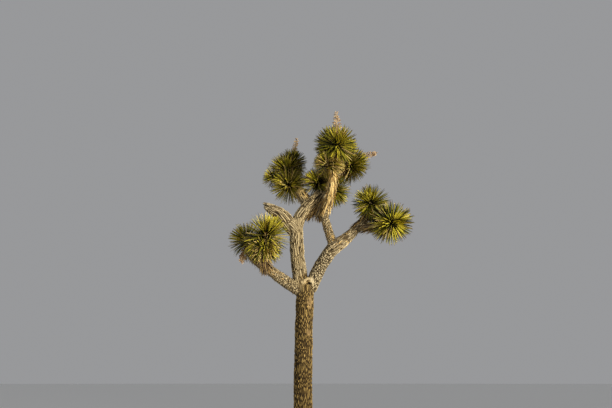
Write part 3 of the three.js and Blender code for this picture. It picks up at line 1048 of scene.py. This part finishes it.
def bark_material(colours):
    """Corky bark: dark in its cracks, tan to grey on its plates, with fibres along the limb."""
    material = bpy.data.materials.new("corky bark")
    nodes = Nodes(material)
    place = nodes.add("ShaderNodeTexCoord").outputs["Object"]
    stretch = nodes.add("ShaderNodeMapping", {"Vector": nodes.attribute("grain_place", "Vector")})
    stretch.inputs["Scale"].default_value = (1, 1, 0.16)
    fibres = nodes.noise(stretch.outputs["Vector"], 170, 4.0)
    specks = nodes.noise(place, 95, 4.0, 0.65)
    patches = nodes.noise(place, 2.6, 3.0)
    fine = nodes.add("ShaderNodeMapping", {"Vector": nodes.attribute("grain_place", "Vector")})
    fine.inputs["Scale"].default_value = (95, 95, 38)
    chip_inputs = {"Vector": fine.outputs["Vector"], "Scale": 1.0}
    chips = nodes.add("ShaderNodeTexVoronoi", chip_inputs, feature="DISTANCE_TO_EDGE")
    smooth = nodes.sum(nodes.attribute("bare"), nodes.attribute("pale"))
    faintest = nodes.spread(smooth, 0.0, 0.8, 0.66, 0.95)
    fine_cracks = nodes.spread(chips.outputs["Distance"], 0.0, 0.1, faintest, 1.0)

    ramp = nodes.add("ShaderNodeValToRGB", {"Fac": nodes.attribute("relief")})
    ramp.color_ramp.elements[0].position = 0.04
    ramp.color_ramp.elements[0].color = (*colours.crack, 1)
    ramp.color_ramp.elements[1].position = 0.88
    ramp.color_ramp.elements[1].color = (*colours.ridge, 1)
    middle = ramp.color_ramp.elements.new(0.35)
    middle.color = (*colours.body, 1)
    grey_share = nodes.spread(patches, 0.4, 0.7, 0.0, 0.55)
    face = nodes.mixed(grey_share, ramp.outputs["Color"], colours.weathered, "SOFT_LIGHT")
    face = nodes.shaded(face, nodes.spread(nodes.attribute("plate_tint"), 0.0, 1.0, 0.64, 1.18))
    face = nodes.mixed(nodes.attribute("earth"), face, colours.earth, "MULTIPLY")
    bare = nodes.mixed(nodes.spread(fibres, 0.35, 0.65, 0.0, 0.5), colours.bare, colours.body)
    bare = nodes.shaded(bare, nodes.spread(nodes.attribute("relief"), 0.2, 0.75, 0.5, 1.25))
    face = nodes.mixed(nodes.sum(nodes.attribute("bare"), 0.75, "MULTIPLY"), face, bare)
    pale = nodes.sum(nodes.attribute("pale"), nodes.spread(specks, 0.35, 0.65, 0.15, 0.6), "MULTIPLY")
    face = nodes.mixed(pale, face, colours.pale)
    face = nodes.mixed(nodes.spread(nodes.attribute("crack"), 0.06, 0.26, 0.9, 0.0), face, colours.crack)
    face = nodes.shaded(face, nodes.spread(nodes.sum(fibres, specks), 0.7, 1.3, 0.68, 1.26))
    face = nodes.shaded(face, fine_cracks)
    nodes.put(nodes.shader.inputs["Base Color"], face)
    nodes.put(nodes.shader.inputs["Roughness"], nodes.spread(specks, 0.3, 0.7, 0.95, 0.78))
    nodes.shader.inputs["Specular IOR Level"].default_value = 0.25
    height = nodes.sum(nodes.sum(fibres, specks), nodes.sum(fine_cracks, 1.5, "MULTIPLY"))
    bump = nodes.add("ShaderNodeBump", {"Height": height})
    bump.inputs["Strength"].default_value = 0.7
    bump.inputs["Distance"].default_value = 0.003
    nodes.put(nodes.shader.inputs["Normal"], bump.outputs["Normal"])
    return material


def stalk_material(colours):
    """The dry wood of the flower stalks: straw, with darker fibres and specks."""
    material = bpy.data.materials.new("dry stalk")
    nodes = Nodes(material)
    stretch = nodes.add("ShaderNodeMapping", {"Vector": nodes.add("ShaderNodeTexCoord").outputs["Object"]})
    stretch.inputs["Scale"].default_value = (1, 1, 0.2)
    fibres = nodes.spread(nodes.noise(stretch.outputs["Vector"], 120), 0.4, 0.66, 0.0, 0.8)
    nodes.put(nodes.shader.inputs["Base Color"], nodes.mixed(fibres, colours.stem, colours.husk_dark))
    nodes.shader.inputs["Roughness"].default_value = 0.75
    return material


def plain_material(name, colour, roughness):
    """One plain tint: of a leaf or a husk, which gets it by its place on the tree, or of the floor."""
    material = bpy.data.materials.new(name)
    shader = Nodes(material).shader
    shader.inputs["Base Color"].default_value = (*colour, 1)
    shader.inputs["Roughness"].default_value = roughness
    shader.inputs["Specular IOR Level"].default_value = 0.2
    return material


class Shape:
    """A small form drawn along Y from 0 to 1, to be set out many times."""

    def __init__(self, bm, base_to, tip_from):
        bmesh.ops.recalc_face_normals(bm, faces=bm.faces)
        bm.verts.ensure_lookup_table()
        points = np.array([vertex.co[:] for vertex in bm.verts])
        self.across, self.along, self.rise = points.T
        self.corners = [[vertex.index for vertex in face.verts] for face in bm.faces]
        middles = np.array([face.calc_center_median().y for face in bm.faces])
        self.is_base, self.is_tip = middles < base_to, middles > tip_from
        bm.free()


def drawn_shape(sections, sides, base_to=-1.0, tip_from=2.0, sink=0.0):
    """A shape drawn from one small ring through sections of (along, width, height), closed to a point. Its
    upper side is sunk. Its base ends and its tip starts at places along it, outside it if it has none."""
    bm = bmesh.new()
    ring = bmesh.ops.create_circle(bm, cap_ends=True, radius=1, segments=sides)["verts"]
    face = ring[0].link_faces[0]
    bmesh.ops.rotate(bm, cent=(0, 0, 0), matrix=Matrix.Rotation(math.pi / 2, 3, "X"), verts=ring)
    for vertex in ring:
        if vertex.co.z > 0.9:
            vertex.co.z = -sink
    along, width, height = sections[0]
    bmesh.ops.scale(bm, vec=(width, 1, height), verts=ring)
    bmesh.ops.translate(bm, vec=(0, along, 0), verts=ring)
    for index, (next_along, next_width, next_height) in enumerate(sections[1:]):
        ring, face = drawn_out(bm, face, index == 0)
        bmesh.ops.scale(bm, vec=(next_width / width, 1, next_height / height), verts=ring)
        bmesh.ops.translate(bm, vec=(0, next_along - along, 0), verts=ring)
        along, width, height = next_along, next_width, next_height
    bmesh.ops.pointmerge(bm, verts=ring, merge_co=(0, along, 0))
    return Shape(bm, base_to, tip_from)


def leaf_shape():
    """A stiff dagger of a leaf: hollow above, keeled below, and widest near a third of its length."""
    sections = ((0, 0.7, 1.0), (0.32, 1.0, 0.95), (0.68, 0.86, 0.8), (0.94, 0.38, 0.45), (1, 0.1, 0.2))
    return drawn_shape(sections, 4, base_to=0.3, tip_from=0.95, sink=0.15)


def dead_leaf_shape():
    """A dead leaf: thin, hollow along its middle, and frayed to a narrow tip."""
    lower = ((0, 0.95, 1.0), (0.14, 1.0, 1.0), (0.36, 0.86, 1.1))
    upper = ((0.6, 0.66, 1.2), (0.82, 0.36, 0.9), (1, 0.08, 0.3))
    return drawn_shape(lower + upper, 4, sink=0.4)


def leaf_base_shape():
    """The short scale that is left on the bark where a leaf broke off."""
    return drawn_shape(((0, 1, 1), (0.45, 0.9, 0.9), (0.85, 0.5, 0.5), (1, 0.2, 0.3)), 4, sink=0.3)


def twig_shape():
    """A short side twig."""
    return drawn_shape(((0, 1, 1), (0.35, 0.78, 0.78), (0.75, 0.6, 0.6), (1, 0.4, 0.4)), 5)


def capsule_shape():
    """A dry seed capsule, swollen in the middle, and split into a beak."""
    outline = ((0, 0.25), (0.12, 0.62), (0.4, 1), (0.7, 0.85), (0.92, 0.4), (1, 0.1))
    return drawn_shape([(along, width, width) for along, width in outline], 6)


class Spray:
    """Many copies of a shape, each with its own start, direction, size, curl and tint."""

    def __init__(self):
        self.rows = []

    def add(self, start, direction, over, length, width, thickness, curl, twist, tint):
        """Adds a batch of copies. Over is the side that each curls towards, and tint its colour's place in
        the list of materials."""
        count = len(start)
        values = (length, width, thickness, curl, twist, tint)
        columns = [np.broadcast_to(value, count).astype(float) for value in values]
        direction = unit(direction)
        over = unit(over - direction * (over * direction).sum(axis=1, keepdims=True))
        self.rows.append(np.hstack([start, direction, over, np.stack(columns, axis=1)]))

    def mesh(self, name, shape, materials, shaded_base_slot=None, tip_slot=None):
        """One joined mesh of every copy."""
        table = np.vstack(self.rows)
        # Each copy's own bent line, and the shape's points set out across it.
        start, direction, over = table[:, None, 0:3], table[:, None, 3:6], table[:, None, 6:9]
        length, width, thickness, curl, twist = (table[:, column, None, None] for column in range(9, 14))
        along = shape.along[None, :, None]
        curl = np.where(np.abs(curl) < 1e-3, 1e-3, curl)
        turn = curl * along
        spine = start + length / curl * (np.sin(turn) * direction + (1 - np.cos(turn)) * over)
        side = np.cross(direction, over)
        up = np.cos(turn) * over - np.sin(turn) * direction
        rolled = twist * along
        across = np.cos(rolled) * side + np.sin(rolled) * up
        rise = np.cos(rolled) * up - np.sin(rolled) * side
        half = width * shape.across[None, :, None] / 2
        points = spine + half * across + thickness / 2 * shape.rise[None, :, None] * rise

        # The corners and the colour of every copy's faces.
        copies, corners_each = len(table), len(shape.along)
        sizes = np.array([len(corners) for corners in shape.corners])
        loops = np.concatenate([np.array(corners) for corners in shape.corners])
        all_loops = (loops[None, :] + corners_each * np.arange(copies)[:, None]).ravel()
        starts = np.concatenate([[0], np.cumsum(sizes)[:-1]])
        all_starts = (starts[None, :] + sizes.sum() * np.arange(copies)[:, None]).ravel()
        slots = np.repeat(table[:, 14].astype(np.int32), len(sizes)).reshape(copies, -1)
        # Painted shade: each leaf's lowest faces take the dark foot tint.
        if shaded_base_slot is not None:
            slots[:, shape.is_base] = shaded_base_slot
        if tip_slot is not None:
            slots[:, shape.is_tip] = tip_slot
        mesh = bpy.data.meshes.new(name)
        mesh.vertices.add(points.shape[0] * points.shape[1])
        mesh.vertices.foreach_set("co", points.ravel())
        mesh.loops.add(len(all_loops))
        mesh.loops.foreach_set("vertex_index", all_loops.astype(np.int32))
        mesh.polygons.add(len(all_starts))
        mesh.polygons.foreach_set("loop_start", all_starts.astype(np.int32))
        for material in materials:
            mesh.materials.append(material)
        mesh.polygons.foreach_set("material_index", slots.ravel())
        mesh.update(calc_edges=True)
        smooth_faces(mesh)
        mesh.set_sharp_from_angle(angle=math.radians(SHARP_EDGE))
        return mesh


def around(axis_side, axis_over, angles):
    """Directions square to an axis, at angles round it."""
    return np.cos(angles)[:, None] * axis_side + np.sin(angles)[:, None] * axis_over


def evenly(count):
    """The middles of so many equal steps from 0 to 1."""
    return (np.arange(count) + 0.5) / count


def spiral(side, over, count, scatter, rng):
    """Directions square to an axis, in the spiral that leaves grow in, a little scattered."""
    return around(side, over, np.arange(count) * GOLDEN_ANGLE + rng.normal(0, scatter, count))


def leaning(forward, out, angle):
    """Directions that lean out from forward by an angle."""
    return forward * np.cos(angle)[:, None] + out * np.sin(angle)[:, None]


def shoots_of(base, tip, reach, forks, rng):
    """The shoots of a ball: its own, and side shoots that fork off it by a seeded rule."""
    base, tip = np.array(base), np.array(tip)
    shoots = [(base, tip, reach)]
    forward = unit(tip - base)
    length = np.linalg.norm(tip - base)
    side = unit(np.cross(forward, SLANT))
    over = np.cross(forward, side)
    turn = rng.uniform(0, 2 * math.pi)
    for number in range(forks):
        angle = turn + number * 2 * math.pi / max(forks, 1) + rng.uniform(-0.3, 0.3)
        out = math.cos(angle) * side + math.sin(angle) * over
        lean = rng.uniform(0.6, 0.85)
        start = base + forward * length * rng.uniform(0.1, 0.35)
        end = start + (forward * math.cos(lean) + out * math.sin(lean)) * length * rng.uniform(0.55, 0.7)
        shoots.append((start, end, reach * 0.8))
    return shoots


def grow_leaves(spray, ball, settings, rng):
    """Leaves in a spiral down each shoot: upright and short at its tip, then spreading, and turned back
    at its foot."""
    base, tip, reach, forks, dryness, sag = ball
    for start, end, leaf_reach in shoots_of(base, tip, reach, forks, rng):
        count = round(settings.count * (leaf_reach / FULL_REACH) ** 1.2)
        age = evenly(count)
        path = Path((start, (start + end) / 2, end), SHOOT_STEP)
        centre, forward, side, over = path.at(1 - age**0.85)
        out = spiral(side, over, count, 0.12, rng)
        tilt = np.radians(mix(*LEAF_TILTS, age**0.72) + rng.normal(0, 6, count))
        direction = leaning(forward, out, tilt)
        inward = forward * np.sin(tilt)[:, None] - out * np.cos(tilt)[:, None]
        sagging = sag * age**1.5
        direction = direction - sagging[:, None] * (0, 0, 0.6)
        inward = inward + sagging[:, None] * (0, 0, 1)
        length = leaf_reach * mix(0.74, 1.06, smooth_step(0, 0.3, age)) * rng.uniform(0.84, 1.04, count)
        stem = mix(0.012, 0.038, np.sqrt(age))
        curl = mix(0.25, -0.4, age) - sagging + rng.normal(0, 0.14, count)
        width = settings.width * rng.uniform(0.85, 1.15, count) * mix(0.8, 1.0, smooth_step(0, 0.2, age))
        spray.add(
            centre + out * stem[:, None],
            direction,
            inward,
            length,
            width,
            settings.thickness,
            curl,
            rng.normal(0, 0.2, count),
            live_tint(age, dryness, rng),
        )


def live_tint(age, dryness, rng):
    """A tint for each live leaf: fresh near the tip, then green, olive and dusky, and dry on the oldest.
    The dusky leaves are partly a darker leaf tone and partly painted shade between the lit leaves.
    """
    green, olive, fresh, dusky, straw, tan, _, _ = range(len(LEAF_TINTS))
    roll = rng.uniform(0, 1, len(age))
    # The large dusky share is partly painted shade between the lit leaves.
    tint = np.select([roll < 0.27, roll < 0.47, roll < 0.62], [green, olive, fresh], dusky)
    tint = np.where((age < 0.22) & (roll < 0.7), fresh, tint)
    dying = dryness + (1 - dryness) * 0.6 * smooth_step(0.75, 1.0, age)
    dry = rng.uniform(0, 1, len(age)) < dying
    return np.where(dry, np.where(rng.uniform(0, 1, len(age)) < 0.55, straw, tan), tint)


def dead_tint(age, rng):
    """A tint for each dead leaf: gold and straw while it is young, then tan, grey and dark. A random fifth
    of all leaves also take the dark tint as painted shade among the lighter ones.
    """
    gold, straw, tan, grey, dark = range(len(DEAD_TINTS))
    roll = rng.uniform(0, 1, len(age)) + 0.75 * (age - 0.4)
    younger = [roll < 0.25, roll < 0.62, roll < 0.84, roll < 0.98]
    tint = np.select(younger, [gold, straw, tan, grey], dark)
    # Painted shade: a random fifth of the leaves turn dark, to stand in for the shade between them.
    return np.where(rng.uniform(0, 1, len(age)) < 0.2, dark, tint)


def grow_collar(spray, ball, settings, rng):
    """The dead leaves right under a ball, turned back along its shoot."""
    base, tip, reach, *_ = ball
    base, tip = np.array(base), np.array(tip)
    count = settings.collar
    age = evenly(count)
    forward = np.broadcast_to(unit(tip - base), (count, 3))
    side = unit(np.cross(forward, SLANT))
    over = np.cross(forward, side)
    out = spiral(side, over, count, 0.2, rng)
    tilt = np.radians(mix(*COLLAR_TILTS, age) + rng.normal(0, 9, count))
    direction = leaning(forward, out, tilt) + np.array((0, 0, -0.35)) * age[:, None]
    start = base - forward * (0.05 * age - 0.03)[:, None] + out * 0.036
    length = reach * rng.uniform(0.5, 0.8, count)
    width = settings.width * rng.uniform(0.6, 1.0, count)
    curl, twist = rng.normal(0.2, 0.4, count), rng.normal(0, 0.9, count)
    tint = dead_tint(age, rng)
    spray.add(start, direction, -out, length, width, settings.thickness, curl, twist, tint)


def grow_skirt(spray, skirt, settings, rng):
    """Dead leaves that hang along a stem in overlapping rows."""
    line, stem, reach, count, sag, oldness = skirt
    path = Path(line, SHOOT_STEP)
    age = evenly(count)
    share = np.clip(age * 0.92 + rng.normal(0, 0.02, count), 0, 0.96)
    centre, forward, side, over = path.at(share)
    out = spiral(side, over, count, 0.25, rng)
    stand = mix(reach[0], reach[1], age) * rng.uniform(0.75, 1.2, count)
    length = np.minimum(rng.uniform(0.13, 0.26, count), (1.12 - share) * path.length + 0.07)
    start = centre + out * stem
    lift = np.arcsin(np.clip((stand - stem) / length, 0.05, 0.9))
    direction = unit(leaning(forward, out, lift))
    direction = direction + np.array((0, 0, -sag)) * rng.uniform(0.3, 1.2, count)[:, None]
    width = settings.width * rng.uniform(0.8, 1.4, count)
    curl, twist = rng.normal(0.35, 0.35, count), rng.normal(0, 0.5, count)
    tint = dead_tint(0.2 * age + oldness, rng)
    spray.add(start, direction, -out, length, width, settings.thickness, curl, twist, tint)


def grow_leaf_bases(spray, limb, per_area, settings, rng):
    """Old leaf bases that cling to a limb's bark, pointing back down it."""
    area = 2 * math.pi * limb.radii.mean() * limb.path.length
    count = round(area * per_area)
    share = rng.uniform(0.08, 1, count)
    centre, forward, side, over = limb.path.at(share)
    out = around(side, over, rng.uniform(0, 2 * math.pi, count))
    radius = np.interp(share * limb.path.length, limb.path.along, limb.radii)
    start = centre + out * (radius - 0.004)[:, None]
    lift = rng.uniform(0.1, 0.6, count)
    direction = leaning(-forward, out, lift)
    length = rng.uniform(0.02, 0.055, count)
    width = settings.width * rng.uniform(0.6, 1.15, count)
    curl, twist = rng.normal(0.3, 0.5, count), rng.normal(0, 0.6, count)
    tint = rng.choice([1, 2, 3, 4], count, p=[0.2, 0.35, 0.3, 0.15])
    spray.add(start, direction, -out, length, width, 0.004, curl, twist, tint)


class TREE_OT_bark(bpy.types.Operator):
    """Grow the trunk and limbs with the relief of their bark"""

    bl_idname = "tree.bark"
    bl_label = "Bark"

    def execute(self, context):
        """Makes one skin over the limbs, gives it relief, and parts it into pieces."""
        settings = context.scene.tree_bark
        mesh_size = settings.mesh_size
        limbs = grown_limbs()
        mesh = rough_skin(limbs, mesh_size)
        add_relief(mesh, limbs, settings.seed)
        by_name = {limb.name: limb for limb in limbs}
        bm = bmesh.new()
        bm.from_mesh(mesh)
        cut_flat_at_ground(bm)
        for name, share in BARK_CUTS:
            part_limb(bm, by_name[name], share)
        bm.to_mesh(mesh)
        bm.free()
        material = bark_material(settings)
        piece_of = {limb: piece for piece, names in BARK_PIECES.items() for limb in names}
        found = {}
        for part in loose_parts(mesh):
            name = limbs[most_common_owner(part.data)].name
            piece = piece_of.get(name)
            if name == "trunk":
                lowest = min(vertex.co.z for vertex in part.data.vertices)
                piece = "bark_trunk_foot" if lowest < TRUNK_FOOT_BELOW else "bark_trunk"
            if piece is None or piece in found:
                bpy.data.objects.remove(part)
                continue
            found[piece] = part
            part.name = piece
            part.data.name = piece
            close_holes(part.data)
            part.data.attributes.remove(part.data.attributes["owner"])
            part.data.materials.clear()
            part.data.materials.append(material)
            smooth_faces(part.data)
            finish_piece(part, BARK_PIECES[piece])
        missing = set(BARK_PIECES) - set(found)
        if missing:
            raise RuntimeError(f"no bark was parted off for {sorted(missing)}")
        return {"FINISHED"}


class TREE_OT_leaves(bpy.types.Operator):
    """Grow the balls of live leaves"""

    bl_idname = "tree.leaves"
    bl_label = "Leaves"

    def execute(self, context):
        """Sets out each ball's leaves, and joins them into a few pieces."""
        settings = context.scene.tree_leaves
        materials = [plain_material(f"leaf {tint}", getattr(settings, tint), 0.48) for tint in LEAF_TINTS]
        # The foot tint on every leaf's lowest third is painted shade; the spine tint is the brown tip.
        foot, spine = LEAF_TINTS.index("foot"), LEAF_TINTS.index("spine")
        shape = leaf_shape()
        rng = np.random.default_rng(settings.seed)
        for piece, balls in LEAF_PIECES.items():
            spray = Spray()
            for ball in balls:
                grow_leaves(spray, BALLS[ball], settings, rng)
            mesh = spray.mesh(piece, shape, materials, foot, spine)
            finish_piece(add_object(piece, mesh), balls)
        return {"FINISHED"}


class TREE_OT_dead_leaves(bpy.types.Operator):
    """Hang the dead leaves under the balls and along the stems"""

    bl_idname = "tree.dead_leaves"
    bl_label = "Dead leaves"

    def execute(self, context):
        """Sets out the collars, skirts and old leaf bases, and joins them into a few pieces."""
        settings = context.scene.tree_dead_leaves
        colours = [(tint, getattr(settings, tint)) for tint in DEAD_TINTS]
        materials = [plain_material(f"dead leaf {tint}", colour, 0.72) for tint, colour in colours]
        shape = dead_leaf_shape()
        rng = np.random.default_rng(settings.seed)
        for piece, (skirts, balls) in DEAD_PIECES.items():
            spray = Spray()
            for skirt in skirts:
                grow_skirt(spray, SKIRTS[skirt], settings, rng)
            for ball in balls:
                grow_collar(spray, BALLS[ball], settings, rng)
            finish_piece(add_object(piece, spray.mesh(piece, shape, materials)), skirts)
        spray = Spray()
        for number, (name, spec) in enumerate(LIMBS.items()):
            if spec[2] == "young" or name == "bough_right_upper":
                grow_leaf_bases(spray, Limb(name, *spec, number), settings.bases, settings, rng)
        bases = add_object("leaf_bases", spray.mesh("leaf_bases", leaf_base_shape(), materials))
        finish_piece(bases, ())
        return {"FINISHED"}


class TREE_OT_flower_stalks(bpy.types.Operator):
    """Set up the dry flower stalks with their twigs and capsules"""

    bl_idname = "tree.flower_stalks"
    bl_label = "Flower stalks"

    def execute(self, context):
        """Draws each stalk, and sets out its twigs and capsules."""
        settings = context.scene.tree_stalks
        rng = np.random.default_rng(settings.seed)
        bm = bmesh.new()
        twigs, capsules = Spray(), Spray()
        for line, reach in STALKS.values():
            line = np.array(line)
            path = Path((line[0] - STALK_SUNK * unit(line[1] - line[0]), *line), LIMB_STEP)
            shares = path.along / path.length
            sweep(bm, path, mix(settings.radius, STALK_TIP, shares), STALK_SIDES)
            count = settings.twigs
            height = mix(0.14, 0.97, np.sort(rng.uniform(0, 1, count)))
            centre, forward, side, over = path.at(height)
            out = spiral(side, over, count, 0.3, rng)
            direction = leaning(forward, out, rng.uniform(0.75, 1.2, count))
            length = reach * 1.2 * (1 - 0.85 * height) ** 0.8 * rng.uniform(0.75, 1.05, count)
            thick = settings.twig_width * mix(1.0, 0.6, height)
            twigs.add(centre, direction, forward, length, thick, thick, rng.normal(0.5, 0.3, count), 0, 0)
            for number in range(settings.capsules):
                outwards = length * mix(0.45, 1.0, (number + 0.5) / settings.capsules)
                place = centre + direction * outwards[:, None]
                spread = unit(direction + 0.45 * rng.normal(0, 1, (count, 3)) + forward * 0.4)
                size = settings.capsule_length * rng.uniform(0.6, 1.1, count)
                girth = 0.46 * size
                tint = rng.choice([0, 1], count, p=[0.68, 0.32])
                capsules.add(place, spread, forward + 0.01 * out, size, girth, girth, 0, 0, tint)
        stem = stalk_material(settings)
        dry, old = settings.husk, settings.husk_dark
        husks = [plain_material("dry husk", dry, 0.65), plain_material("old husk", old, 0.75)]
        stalks = new_mesh(bm, "stalks")
        stalks.materials.append(stem)
        smooth_faces(stalks)
        finish_piece(add_object("flower_stalks", stalks), tuple(STALKS))
        twig_mesh = twigs.mesh("flower_twigs", twig_shape(), [stem])
        finish_piece(add_object("flower_twigs", twig_mesh), ())
        husk_mesh = capsules.mesh("seed_capsules", capsule_shape(), husks)
        finish_piece(add_object("seed_capsules", husk_mesh), ())
        return {"FINISHED"}


def add_area_light(name, place, size, power, colour, spread):
    """A soft square light that shines from a place at the tree, in a cone of the spread's angle."""
    light = bpy.data.lights.new(name, "AREA")
    light.size, light.energy, light.color = size, power, colour
    light.spread = spread
    lamp = bpy.data.objects.new(name, light)
    lamp.location = place
    lamp.rotation_euler = (Vector(LIT_PLACE) - Vector(place)).to_track_quat("-Z", "Y").to_euler()
    bpy.context.scene.collection.objects.link(lamp)


class TREE_OT_stage(bpy.types.Operator):
    """Set up the camera, the plain floor and the soft lights"""

    bl_idname = "tree.stage"
    bl_label = "Stage"

    def execute(self, context):
        """Makes the camera at the photograph's viewing angle, a pale floor and soft studio light."""
        scene = context.scene
        settings = scene.tree_stage
        camera = bpy.data.objects.new("camera", bpy.data.cameras.new("camera"))
        camera.data.lens = settings.camera_lens
        camera.data.sensor_width = SENSOR_WIDTH
        camera.location = settings.camera_place
        camera.rotation_euler = (math.pi / 2 + settings.camera_pitch, 0, 0)
        scene.collection.objects.link(camera)
        scene.camera = camera

        bm = bmesh.new()
        bmesh.ops.create_circle(bm, cap_ends=True, radius=settings.floor_radius, segments=64)
        floor = add_object("floor", new_mesh(bm, "floor"))
        floor.data.materials.append(plain_material("floor", settings.floor, 0.9))

        world = bpy.data.worlds.new("plain backdrop")
        world.use_nodes = True
        background = world.node_tree.nodes["Background"]
        background.inputs["Color"].default_value = (*settings.backdrop, 1)
        background.inputs["Strength"].default_value = settings.backdrop_light
        scene.world = world
        scene.view_settings.view_transform = "Standard"
        for name, (place, size, colour, spread) in LIGHTS.items():
            add_area_light(name, place, size, getattr(settings, f"{name}_power"), colour, spread)
        return {"FINISHED"}


OPERATORS = (TREE_OT_bark, TREE_OT_leaves, TREE_OT_dead_leaves, TREE_OT_flower_stalks, TREE_OT_stage)


class TREE_PT_panel(bpy.types.Panel):
    """Lists the tree's pieces and their settings"""

    bl_idname = "TREE_PT_panel"
    bl_label = "Joshua Tree"
    bl_space_type = "VIEW_3D"
    bl_region_type = "UI"
    bl_category = "Tree"

    def draw(self, context):
        """Draws a button for each piece and then every setting."""
        for operator in OPERATORS:
            self.layout.operator(operator.bl_idname)
        for name in SETTINGS:
            group = getattr(context.scene, name)
            box = self.layout.box()
            for key in group.__annotations__:
                box.prop(group, key)


SETTINGS = {
    "tree_bark": BarkSettings,
    "tree_leaves": LeafSettings,
    "tree_dead_leaves": DeadLeafSettings,
    "tree_stalks": StalkSettings,
    "tree_stage": StageSettings,
}
CLASSES = (*SETTINGS.values(), *OPERATORS, TREE_PT_panel)


def register():
    """Adds the settings, operators and panel to Blender."""
    for item in CLASSES:
        bpy.utils.register_class(item)
    for name, group in SETTINGS.items():
        setattr(bpy.types.Scene, name, PointerProperty(type=group))


def unregister():
    """Takes them out again."""
    for name in SETTINGS:
        delattr(bpy.types.Scene, name)
    for item in reversed(CLASSES):
        bpy.utils.unregister_class(item)


def main():
    """Grows the whole tree."""
    register()
    for operator in OPERATORS:
        group, name = operator.bl_idname.split(".")
        getattr(getattr(bpy.ops, group), name)()


if __name__ == "__main__":
    main()
